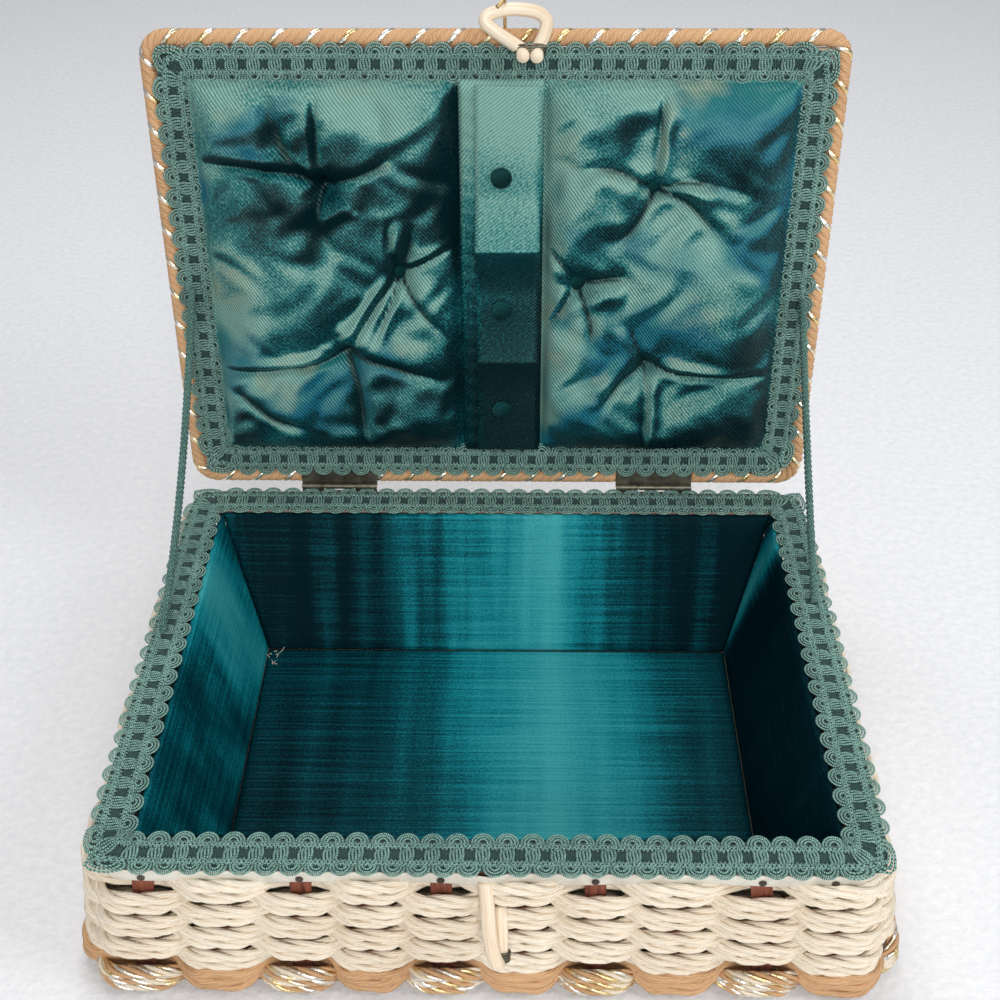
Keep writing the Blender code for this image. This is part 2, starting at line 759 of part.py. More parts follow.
def add_rim(finishes):
    """Add the frame under the trim, with pockets for the hinge leaves, and the trim."""
    clear = STAKE_THICKNESS / 2 + GAP + FRAME_INSET
    top_x, top_y = wall_half(FRAME_TOP)
    outer = Vector((top_x - clear, top_y - clear))
    lining_x, lining_y = lining_half(FRAME_TOP)
    inner = Vector((lining_x + LINING_THICKNESS + GAP, lining_y + LINING_THICKNESS + GAP))
    frame = add_frame(
        "rim_frame",
        rounded_rectangle(-outer, outer, WALL_CORNER - clear, CORNER_STEPS),
        rounded_rectangle(-inner, inner, GAP, CORNER_STEPS),
        BAND_BOTTOM,
        FRAME_TOP,
        finishes["board"],
    )
    pocket_depth = LEAF_THICKNESS + 2 * GAP
    for side in (-1, 1):
        reach = HINGE_LENGTH / 2 + LEAF_SLACK
        cutter = add_cutter(
            f"rim_pocket_{side}",
            (side * HINGE_OFFSET - reach, HINGE_Y - LEAF_REACH - LEAF_SLACK, FRAME_TOP - pocket_depth),
            (side * HINGE_OFFSET + reach, HINGE_Y, FRAME_TOP + GIMP_THICKNESS),
        )
        combine(frame, cutter, "DIFFERENCE")
    edge = Vector((RIM_LENGTH / 2, RIM_DEPTH / 2))
    hole = edge - Vector((GIMP_WIDTH, GIMP_WIDTH))
    add_frame(
        "rim_gimp",
        rounded_rectangle(-edge, edge, GIMP_CORNER, CORNER_STEPS),
        rounded_rectangle(-hole, hole, GAP, CORNER_STEPS),
        GIMP_BOTTOM,
        GIMP_TOP,
        finishes["gimp"],
    )


def knuckle_outline(drop):
    """Return a curled leaf end round an axis at (0, 0), with a tail that drops to the leaf."""
    bore = PIN_RADIUS + PIN_CLEARANCE
    outer = bore + LEAF_THICKNESS
    start = -90 + math.degrees(LEAF_THICKNESS / 2 / outer)
    end = 270 - KNUCKLE_SLOT_DEG
    tail = LEAF_THICKNESS / 2
    outline = [(tail, -drop)]
    outline.extend(arc_points((0, 0), outer, start, end, KNUCKLE_STEPS))
    outline.extend(reversed(arc_points((0, 0), bore, -90, end, KNUCKLE_STEPS)))
    outline.append((-tail, -bore))
    outline.append((-tail, -drop))
    return outline


def add_leaf(name, centre, spans, drop, place, finish, parent=None):
    """Add a hinge leaf: a flat plate with a knuckle on each of its spans of the axis."""
    start = centre - HINGE_LENGTH / 2
    end = centre + HINGE_LENGTH / 2
    half = LEAF_THICKNESS / 2
    plate = ((-half, -drop - half), (LEAF_REACH, -drop - half), (LEAF_REACH, half - drop), (-half, half - drop))
    leaf = add_extrusion(name, plate, place, start, end, finish, parent)
    for number, (near, far) in enumerate(spans):
        outline = knuckle_outline(drop)
        knuckle = add_extrusion(
            f"{name}_knuckle_{number}",
            outline,
            place,
            start + near * HINGE_LENGTH + KNUCKLE_GAP / 2,
            start + far * HINGE_LENGTH - KNUCKLE_GAP / 2,
            finish,
            parent,
        )
        knuckle.hide_render = True
        knuckle.display_type = "WIRE"
        combine(leaf, knuckle, "UNION")
    return leaf


def body_leaf_place(near, rise):
    """Place a body leaf's outline: near runs forwards from the hinge axis."""
    return HINGE_Y - near, HINGE_Z + rise


def lid_leaf_place(near, rise):
    """Place a lid leaf's outline in the lid's own axes."""
    return near, rise


def add_hinges(finishes, lid):
    """Add both hinges: two leaves and a pin each."""
    body_drop = HINGE_Z - (FRAME_TOP - GAP - LEAF_THICKNESS / 2)
    lid_drop = -(LID_GIMP_BACK - GAP - LEAF_THICKNESS / 2)
    ends = ((0.0, END_KNUCKLE_SHARE), (1 - END_KNUCKLE_SHARE, 1.0))
    middle = ((END_KNUCKLE_SHARE, 1 - END_KNUCKLE_SHARE),)
    for name, side in (("left", -1), ("right", 1)):
        centre = side * HINGE_OFFSET
        add_leaf(f"{name}_hinge_body_leaf", centre, ends, body_drop, body_leaf_place, finishes["brass"])
        add_leaf(f"{name}_hinge_lid_leaf", centre, middle, lid_drop, lid_leaf_place, finishes["brass"], lid)
        turn = Matrix.Rotation(math.radians(90), 4, "Y")
        matrix = Matrix.Translation((centre, HINGE_Y, HINGE_Z)) @ turn
        profile = ((PIN_RADIUS, -HINGE_LENGTH / 2), (PIN_RADIUS, HINGE_LENGTH / 2))
        add_turned(f"{name}_hinge_pin", profile, finishes["brass"], matrix)


def add_lid_board(finishes, lid):
    """Add the lid's board with its leaf pockets, and the ribbed panel on its outside."""
    low, high = (-BOARD_HALF, BOARD_NEAR), (BOARD_HALF, BOARD_FAR)
    plan = rounded_rectangle(low, high, ROPE_CORNER - ROPE_CLEAR, CORNER_STEPS)
    board = add_slab("lid_board", plan, LID_BOARD_BACK, LID_BOARD_FACE, finishes["board"], lid)
    leaf_back = LID_GIMP_BACK - GAP - LEAF_THICKNESS
    for side in (-1, 1):
        reach = HINGE_LENGTH / 2 + LEAF_SLACK
        cutter = add_cutter(
            f"lid_pocket_{side}",
            (side * HINGE_OFFSET - reach, 0, leaf_back - GAP),
            (side * HINGE_OFFSET + reach, LEAF_REACH + LEAF_SLACK, ROPE_RADIUS),
            lid,
        )
        combine(board, cutter, "DIFFERENCE")
    outline = [(BOARD_FAR - LID_WEAVE_INSET, LID_WEAVE_FACE), (BOARD_NEAR + LID_WEAVE_INSET, LID_WEAVE_FACE)]
    span = BOARD_FAR - BOARD_NEAR - 2 * LID_WEAVE_INSET
    for step in range(2 * LID_WEAVE_RIBS + 1):
        rib = LID_WEAVE_RIB if step % 2 == 0 else 0.0
        place = BOARD_NEAR + LID_WEAVE_INSET + span * step / (2 * LID_WEAVE_RIBS)
        outline.append((place, LID_WEAVE_FACE - LID_WEAVE_THICKNESS + rib))
    reach = BOARD_HALF - LID_WEAVE_INSET
    add_extrusion("lid_weave", outline, lid_leaf_place, -reach, reach, finishes["cord"], lid)


def add_lid_rope(finishes, lid):
    """Add the rope border, flattened behind the hinge leaves."""
    outline = rounded_rectangle(
        (-ROPE_HALF, ROPE_NEAR_AXIS), (ROPE_HALF, ROPE_FAR), ROPE_CORNER, ROPE_CORNER_STEPS
    )
    made = bmesh.new()
    centre = Vector((0, (ROPE_NEAR_AXIS + ROPE_FAR) / 2))
    loops = []
    steps = ROPE_CORNER_STEPS + 1
    for index, point in enumerate(outline):
        quarter, step = divmod(index, steps)
        angle = math.radians(90 * quarter + 90 * step / ROPE_CORNER_STEPS)
        outward = Vector((math.cos(angle), math.sin(angle)))
        loop = []
        for side in range(ROPE_SIDES):
            turn = math.tau * (side + 0.5) / ROPE_SIDES
            reach = Vector(point) + outward * (ROPE_RADIUS * math.cos(turn))
            loop.append(made.verts.new((*reach, -ROPE_SETBACK + ROPE_RADIUS * math.sin(turn))))
        loops.append(loop)
    bridge(made, loops, True)
    rope = add_mesh("lid_rope", made, finishes["rope"], lid, smooth=True)
    leaf_back = LID_GIMP_BACK - GAP - LEAF_THICKNESS
    for side in (-1, 1):
        reach = HINGE_LENGTH / 2 + LEAF_SLACK
        cutter = add_cutter(
            f"rope_pocket_{side}",
            (side * HINGE_OFFSET - reach, -ROPE_RADIUS, leaf_back - GAP),
            (side * HINGE_OFFSET + reach, centre.y, ROPE_RADIUS),
            lid,
        )
        combine(rope, cutter, "DIFFERENCE")


def add_lid_gimp(finishes, lid):
    """Add the trim round the lid's padded panels."""
    add_frame(
        "lid_gimp",
        rounded_rectangle((-TRIM_HALF, TRIM_NEAR), (TRIM_HALF, TRIM_FAR), LID_GIMP_CORNER, CORNER_STEPS),
        rounded_rectangle(
            (GIMP_WIDTH - TRIM_HALF, TRIM_NEAR + GIMP_WIDTH),
            (TRIM_HALF - GIMP_WIDTH, TRIM_FAR - GIMP_WIDTH),
            GAP,
            CORNER_STEPS,
        ),
        LID_GIMP_BACK,
        LID_GIMP_FACE,
        finishes["gimp"],
        lid,
    )


def distance_to_segment(point, start, end):
    """Return the distance from a point to a straight line between two points."""
    start, end = Vector(start), Vector(end)
    along = end - start
    share = max(0.0, min(1.0, (point - start).dot(along) / along.length_squared))
    return (start + along * share - point).length


def pad_height(point, low, high, tufts, creases):
    """Return a padded panel's height over its back at one place."""
    edge = min(point.x - low[0], high[0] - point.x, point.y - low[1], high[1] - point.y)
    share = min(1.0, max(0.0, edge / PAD_EDGE_WIDTH))
    height = PAD_CROWN * math.sqrt(1 - (1 - share) ** 2)
    for start, end in creases:
        near = distance_to_segment(point, start, end) / CREASE_WIDTH
        height *= 1 - CREASE_DEPTH_SHARE * math.exp(-(near**2))
    for across, along, _ in tufts:
        near = (point - Vector((across, along))).length / TUFT_RADIUS
        height *= 1 - TUFT_DEPTH_SHARE * math.exp(-(near**2))
    return PAD_EDGE_HEIGHT + height


def add_pad(name, low, high, tufts, creases, finish, lid):
    """Add one padded panel: crown, drawn-in edges, tufts and the creases between them."""
    made = bmesh.new()
    grid = []
    for row in range(PAD_ROWS + 1):
        line = []
        for column in range(PAD_COLUMNS + 1):
            point = Vector(
                (
                    low[0] + (high[0] - low[0]) * column / PAD_COLUMNS,
                    low[1] + (high[1] - low[1]) * row / PAD_ROWS,
                )
            )
            height = pad_height(point, low, high, tufts, creases)
            line.append(made.verts.new((point.x, point.y, LID_GIMP_BACK + height)))
        grid.append(line)
    for row in range(PAD_ROWS):
        for column in range(PAD_COLUMNS):
            lower, upper = grid[row], grid[row + 1]
            made.faces.new((lower[column], lower[column + 1], upper[column + 1], upper[column]))
    rim = grid[0] + [line[-1] for line in grid[1:-1]]
    rim += grid[-1][::-1] + [line[0] for line in grid[-2:0:-1]]
    foot = [made.verts.new((vertex.co.x, vertex.co.y, LID_GIMP_BACK)) for vertex in rim]
    for index in range(len(rim)):
        following = (index + 1) % len(rim)
        made.faces.new((foot[index], foot[following], rim[following], rim[index]))
    made.faces.new(foot[::-1])
    surface = BVHTree.FromBMesh(made)
    add_mesh(name, made, finish, lid, smooth=True)
    return surface


def seat_height(surface, across, along):
    """Return how high a tuft button sits on a padded panel's surface."""
    height = LID_GIMP_BACK
    down = Vector((0, 0, -1))
    for reach in (0, TUFT_BUTTON_RADIUS / 2, TUFT_BUTTON_RADIUS):
        for turn in range(BUTTON_SIDES):
            angle = math.tau * turn / BUTTON_SIDES
            spot = (across + reach * math.cos(angle), along + reach * math.sin(angle), PAD_EDGE_WIDTH)
            height = max(height, surface.ray_cast(Vector(spot), down)[0].z)
    return height


def button_profile(radius, height):
    """Return a covered button's profile."""
    return [(radius * across, height * up) for across, up in BUTTON_PROFILE_SHARES]


def lid_place(shares):
    """Return a place on the lid from shares of half its length and of its depth."""
    return shares[0] * LID_LENGTH / 2, shares[1] * LID_DEPTH


def add_pads(finishes, lid):
    """Add the padded panels and the buttons that remain in their tufts."""
    gap = PAD_MARGIN
    panels = (
        ("left_pad", (-PAD_HALF, PAD_NEAR), (STRAP_LEFT - gap, PAD_FAR), LEFT_TUFT_SHARES, LEFT_CREASE_SHARES),
        ("right_pad", (STRAP_RIGHT + gap, PAD_NEAR), (PAD_HALF, PAD_FAR), RIGHT_TUFT_SHARES, RIGHT_CREASE_SHARES),
    )
    number = 0
    for name, low, high, tuft_shares, crease_shares in panels:
        tufts = [(*lid_place(shares[:2]), shares[2]) for shares in tuft_shares]
        creases = [(lid_place(start), lid_place(end)) for start, end in crease_shares]
        surface = add_pad(name, low, high, tufts, creases, finishes["satin"], lid)
        for across, along, buttoned in tufts:
            if not buttoned:
                continue
            number += 1
            rise = seat_height(surface, across, along)
            matrix = Matrix.Translation((across, along, rise + GAP))
            profile = button_profile(TUFT_BUTTON_RADIUS, TUFT_BUTTON_HEIGHT)
            add_turned(f"tuft_button_{number}", profile, finishes["satin"], matrix, lid)


def strap_bumps():
    """Return where each bump of the loop strip starts, peaks and ends along the lid, and its rise."""
    first, second, third = STRAP_BUTTON_PLACES
    seat = STRAP_SEAT_LENGTH
    return (
        (second + seat, STRAP_RIDGE_PLACE, first - seat, STRAP_RIDGE_RISE),
        (third + seat, STRAP_LOW_PLACE, second - seat, STRAP_LOW_RISE),
    )


def strap_height(place):
    """Return how high the loop strip stands over its bed at a place along the lid."""
    for low, peak, high, rise in strap_bumps():
        if low < place < high:
            share = (place - low) / (peak - low) if place < peak else (high - place) / (high - peak)
            shoulder = STRAP_BUMP_ROUND_SHARE * math.sin(share * math.pi / 2)
            return rise * (shoulder + (1 - STRAP_BUMP_ROUND_SHARE) * share**2)
    return 0.0


def add_strap(finishes, lid):
    """Add the tool strap: the base strip, the loop strip on it and its three buttons."""
    add_box(
        "strap_base",
        (STRAP_LEFT, PAD_NEAR, LID_GIMP_BACK),
        (STRAP_RIGHT, PAD_FAR, STRAP_FACE),
        finishes["satin"],
        lid,
        bevel=STRAP_ROUND,
    )
    places = {PAD_NEAR + STRAP_LOOP_END, PAD_FAR - STRAP_LOOP_END}
    for low, peak, high, _ in strap_bumps():
        for step in range(STRAP_BUMP_STEPS + 1):
            places.add(low + (peak - low) * step / STRAP_BUMP_STEPS)
            places.add(high + (peak - high) * step / STRAP_BUMP_STEPS)
    ordered = sorted(places)
    upper = []
    lower = []
    for place in ordered:
        height = strap_height(place)
        slope = (strap_height(place + GAP) - strap_height(place - GAP)) / (2 * GAP)
        slope = 0.0 if place in (STRAP_RIDGE_PLACE, STRAP_LOW_PLACE) else slope
        thickness = STRAP_LOOP_THICKNESS * math.sqrt(1 + slope**2)
        lower.append((place, STRAP_LOOP_BED + height))
        upper.append((place, STRAP_LOOP_BED + height + thickness))
    half = STRAP_LOOP_WIDTH / 2
    add_extrusion(
        "strap_loop",
        lower + upper[::-1],
        lid_leaf_place,
        STRAP_CENTRE - half,
        STRAP_CENTRE + half,
        finishes["satin"],
        lid,
    )
    bed = STRAP_LOOP_BED + STRAP_LOOP_THICKNESS + GAP
    for number, place in enumerate(STRAP_BUTTON_PLACES, start=1):
        matrix = Matrix.Translation((STRAP_CENTRE, place, bed))
        profile = button_profile(STRAP_BUTTON_RADIUS, STRAP_BUTTON_HEIGHT)
        add_turned(f"strap_button_{number}", profile, finishes["satin"], matrix, lid)


def oval_loop(reach, ends, steps):
    """Return an oval about the X axis from one end's centre to the other's, in the XZ plane."""
    points = arc_points((ends[1], 0), reach, -90, 90, steps)
    points.extend(arc_points((ends[0], 0), reach, 90, 270, steps))
    return points


def add_lid_loop(finishes, lid):
    """Add the wire eye in the border, the cane loop that hangs in it and the loop's binding."""
    pivot_along = LID_DEPTH + LOOP_PIVOT_ABOVE
    pivot_normal = -LOOP_PIVOT_SETBACK
    reach = CANE_RADIUS + EYE_CLEARANCE + EYE_WIRE_RADIUS
    start = (ROPE_FAR + ROPE_RADIUS + GAP, pivot_normal - reach)
    hook = [start, (pivot_along, pivot_normal - reach)]
    hook.extend(arc_points((pivot_along, pivot_normal), reach, -90, 90, BUTTON_SIDES // 2)[1:])
    hook.append((pivot_along - EYE_TAIL, pivot_normal + reach))
    points = [(EYE_PLACE, along, normal) for along, normal in hook]
    add_tube("wire_eye", points, EYE_WIRE_RADIUS, finishes["wire"], lid)
    pivot = add_empty("loop_pivot", (0, pivot_along, pivot_normal), lid)
    pivot.rotation_euler = (math.radians(-LOOP_DRAPE_DEG), 0, 0)
    cane = smooth_route([(across, -down, 0) for across, down in LOOP_ROUTE], 2)
    add_tube("lid_loop", cane, CANE_RADIUS, finishes["cane"], pivot, arc_count=CANE_ARC_COUNT)
    oval = [
        (across, -BINDING_PLACE, normal)
        for across, normal in oval_loop(BINDING_REACH, BINDING_ENDS, BINDING_STEPS)
    ]
    add_tube("loop_binding", oval, BINDING_WIRE_RADIUS, finishes["wire"], pivot, closed=True)


def front_point(place):
    """Return a point given across, out from the front wall's middle and down from the band."""
    across, out, down = place
    height = BAND_BOTTOM - down
    return Vector((across, -wall_half(height)[1] - out, height))


def add_front_bow(finishes):
    """Add the bent cane on the front and the wire round its two legs."""
    cane = smooth_route([front_point(place) for place in BOW_ROUTE], 1)
    add_tube("front_bow", cane, CANE_RADIUS, finishes["cane"], arc_count=CANE_ARC_COUNT)
    centre = front_point(BOW_BINDING_PLACE)
    axis = Vector(BOW_BINDING_AXIS).normalized()
    across = Vector(BOW_BINDING_ACROSS)
    across = (across - axis * across.dot(axis)).normalized()
    side = axis.cross(across)
    reach = BOW_BINDING_REACH
    points = []
    for first, second in oval_loop(reach, (-BOW_BINDING_HALF, BOW_BINDING_HALF), BOW_BINDING_STEPS):
        points.append(centre + across * first + side * second)
    add_tube("bow_binding", points, BINDING_WIRE_RADIUS, finishes["wire"], closed=True)


def add_stays(finishes, lid_matrix):
    """Add the two cords that stop the lid."""
    for name, side, lid_inset, rim_inset, sag in (
        ("left", -1, LEFT_STAY_LID_INSET, LEFT_STAY_RIM_INSET, LEFT_STAY_SAG),
        ("right", 1, RIGHT_STAY_LID_INSET, RIGHT_STAY_RIM_INSET, RIGHT_STAY_SAG),
    ):
        across = side * (TRIM_HALF - lid_inset)
        along = STAY_LID_SHARES[name] * LID_DEPTH
        lid_normal = lid_matrix.to_3x3() @ Vector((0, 0, 1))
        lid_end = lid_matrix @ Vector((across, along, LID_GIMP_FACE + GAP))
        rim_x = side * (RIM_LENGTH / 2 - rim_inset)
        rim_end = Vector((rim_x, STAY_RIM_SHARES[name] * RIM_DEPTH / 2, GIMP_TOP + GAP))
        start = lid_end + lid_normal * STAY_STUB
        end = rim_end + Vector((0, 0, STAY_STUB))
        points = [lid_end]
        for step in range(STAY_STEPS + 1):
            share = step / STAY_STEPS
            point = start.lerp(end, share)
            point.z -= sag * (1 - (2 * share - 1) ** 2)
            points.append(point)
        points.append(rim_end)
        route = smooth_route(points, 1)
        add_tube(f"{name}_stay", route, STAY_RADIUS, finishes["stay"], arc_count=WIRE_ARC_COUNT)


def make_finishes():
    """Return the materials by the piece of work that they colour."""
    return {
        "board": material("board", (0.42, 0.33, 0.24), 0.9),
        "satin": material("satin", (0.01, 0.20, 0.24), 0.45),
        "stake": material("stake", (0.20, 0.06, 0.04), 0.6),
        "cord": material("cord", (0.87, 0.78, 0.64), 0.8),
        "gilt": material("gilt", (0.72, 0.66, 0.52), 0.4, 0.6),
        "rope": material("rope", (0.60, 0.33, 0.17), 0.8),
        "band": material("band", (0.74, 0.69, 0.63), 0.6),
        "nail": material("nail", (0.10, 0.08, 0.07), 0.5, 0.6),
        "gimp": material("gimp", (0.11, 0.29, 0.26), 0.85),
        "brass": material("brass", (0.70, 0.52, 0.25), 0.3, 1.0),
        "wire": material("wire", (0.25, 0.25, 0.20), 0.4, 0.9),
        "cane": material("cane", (0.90, 0.80, 0.66), 0.5),
        "stay": material("stay", (0.05, 0.22, 0.20), 0.8),
    }


def main():
    """Build the basket."""
    for old in list(bpy.data.objects):
        bpy.data.objects.remove(old)
    finishes = make_finishes()
    lid = add_empty("lid_hinge", (0, HINGE_Y, HINGE_Z))
    lid.rotation_euler = (math.radians(LID_LEAN_DEG), 0, 0)
    turn = Matrix.Rotation(math.radians(LID_LEAN_DEG), 4, "X")
    lid_matrix = Matrix.Translation((0, HINGE_Y, HINGE_Z)) @ turn
    add_body(finishes)
    add_rim(finishes)
    add_hinges(finishes, lid)
    add_lid_board(finishes, lid)
    add_lid_rope(finishes, lid)
    add_lid_gimp(finishes, lid)
    add_pads(finishes, lid)
    add_strap(finishes, lid)
    add_lid_loop(finishes, lid)
    add_front_bow(finishes)
    add_stays(finishes, lid_matrix)


main()
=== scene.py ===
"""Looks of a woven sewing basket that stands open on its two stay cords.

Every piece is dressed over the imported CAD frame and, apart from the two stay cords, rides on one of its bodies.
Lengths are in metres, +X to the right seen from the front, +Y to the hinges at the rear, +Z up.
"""

import json
import logging
import math
from dataclasses import dataclass, field
from enum import Enum
from typing import Callable, Iterable, Optional

import bpy
import numpy as np
from mathutils import Matrix, Vector

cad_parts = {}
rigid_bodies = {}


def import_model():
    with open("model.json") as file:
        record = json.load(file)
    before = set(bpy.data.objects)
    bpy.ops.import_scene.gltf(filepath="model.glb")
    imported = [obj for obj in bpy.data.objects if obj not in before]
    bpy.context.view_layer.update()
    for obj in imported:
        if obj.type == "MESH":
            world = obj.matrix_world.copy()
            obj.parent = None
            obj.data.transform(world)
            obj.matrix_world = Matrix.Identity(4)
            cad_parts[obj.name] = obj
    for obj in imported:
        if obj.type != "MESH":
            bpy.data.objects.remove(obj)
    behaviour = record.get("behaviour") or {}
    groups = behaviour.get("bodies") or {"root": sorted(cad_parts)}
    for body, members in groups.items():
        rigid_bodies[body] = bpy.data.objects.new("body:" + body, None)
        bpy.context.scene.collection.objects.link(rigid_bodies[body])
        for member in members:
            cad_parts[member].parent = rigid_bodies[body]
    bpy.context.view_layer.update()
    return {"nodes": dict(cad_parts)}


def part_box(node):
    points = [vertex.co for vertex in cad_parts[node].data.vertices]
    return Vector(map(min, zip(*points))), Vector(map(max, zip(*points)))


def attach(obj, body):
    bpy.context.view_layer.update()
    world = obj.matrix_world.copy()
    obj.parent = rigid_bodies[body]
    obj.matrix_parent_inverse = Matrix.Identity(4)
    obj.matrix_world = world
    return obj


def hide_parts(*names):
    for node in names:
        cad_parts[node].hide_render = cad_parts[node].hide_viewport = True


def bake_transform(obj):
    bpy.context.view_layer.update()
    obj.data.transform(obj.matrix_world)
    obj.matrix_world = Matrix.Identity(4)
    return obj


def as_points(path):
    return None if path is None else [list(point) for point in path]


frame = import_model()

log = logging.getLogger("sewing_basket")

Array = np.ndarray
Socket = object
TAU = math.tau


class Body(Enum):
    """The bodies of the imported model."""

    BASKET = "basket"
    LID = "lid"
    CANE_LOOP = "cane_loop"


class Twist(Enum):
    """Which way a rope's strands run round it, seen from outside."""

    RISING = 1
    FALLING = -1


# Workbench


def select_only(piece: bpy.types.Object) -> bpy.types.Object:
    """Select one object and make it active.

    Args:
        piece: The object to work on.

    Returns:
        The same object.
    """
    for other in bpy.context.scene.objects:
        other.select_set(False)
    piece.select_set(True)
    bpy.context.view_layer.objects.active = piece
    return piece


def settle(piece: bpy.types.Object) -> bpy.types.Object:
    """Apply a piece's modifiers and put its place into its mesh.

    Args:
        piece: A mesh object.

    Returns:
        The same object, at the origin, unturned and unscaled.
    """
    select_only(piece)
    for modifier in list(piece.modifiers):
        bpy.ops.object.modifier_apply(modifier=modifier.name)
    bpy.ops.object.transform_apply(location=True, rotation=True, scale=True)
    return piece


def smooth(piece: bpy.types.Object, degrees: float = 40.0) -> bpy.types.Object:
    """Shade a piece smooth, with edges sharper than an angle kept."""
    select_only(piece)
    bpy.ops.object.shade_smooth_by_angle(angle=math.radians(degrees))
    return piece


def choose_faces(piece: bpy.types.Object, test: Callable[[bpy.types.MeshPolygon], bool]) -> None:
    """Select the faces that pass a test, and nothing else, and leave the piece in edit mode.

    Args:
        piece: A mesh object.
        test: Says whether a face is chosen, from its centre and normal.
    """
    select_only(piece)
    bpy.ops.object.mode_set(mode="EDIT")
    bpy.ops.mesh.select_mode(type="FACE")
    bpy.ops.mesh.select_all(action="DESELECT")
    bpy.ops.object.mode_set(mode="OBJECT")
    for face in piece.data.polygons:
        face.select = test(face)
    bpy.ops.object.mode_set(mode="EDIT")


def leave_edit() -> None:
    """Go back to object mode."""
    bpy.ops.object.mode_set(mode="OBJECT")


def hand_in(
    piece: bpy.types.Object,
    name: str,
    finish: bpy.types.Material,
    body: Body,
    replaces: Iterable[str] = (),
) -> bpy.types.Object:
    """Name a finished piece, dress it, and let it ride on its body.

    Args:
        piece: The finished mesh object.
        name: Its name.
        finish: Its material.
        body: The body that it rides on.
        replaces: The CAD nodes that it stands for.

    Returns:
        The same object.
    """
    piece.name = name
    piece.data.name = name
    piece.data.materials.clear()
    piece.data.materials.append(finish)
    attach(piece, body.value)
    if replaces:
        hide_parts(*replaces)
    log.info("%s: %d faces, on %s", name, len(piece.data.polygons), body.value)
    return piece


def unit(vectors: Array) -> Array:
    """Return vectors made one long."""
    return vectors / np.maximum(np.linalg.norm(vectors, axis=-1, keepdims=True), 1e-12)


def round_section(radius: float, sides: int, flat: float = 1.0) -> Array:
    """Return a tube's section.

    Args:
        radius: Half the width.
        sides: Number of corners.
        flat: Height as a share of the width.

    Returns:
        Places (across, up), anticlockwise about the path.
    """
    angle = TAU * np.arange(sides) / sides
    return np.stack([radius * np.cos(angle), flat * radius * np.sin(angle)], axis=1)


def curve_through(points: Iterable[Iterable[float]], steps: int) -> Array:
    """Return a Catmull-Rom curve through points.

    Args:
        points: The route's own points.
        steps: Pieces between two points.

    Returns:
        An array of points.
    """
    route = np.array([tuple(point) for point in points], float)
    route = np.vstack([2 * route[0] - route[1], route, 2 * route[-1] - route[-2]])
    made = []
    for before, start, end, after in zip(route, route[1:], route[2:], route[3:]):
        for step in range(steps):
            t = step / steps
            made.append(
                0.5
                * (
                    2 * start
                    + (end - before) * t
                    + (2 * before - 5 * start + 4 * end - after) * t**2
                    + (3 * start - before - 3 * end + after) * t**3
                )
            )
    made.append(route[-2])
    return np.array(made)


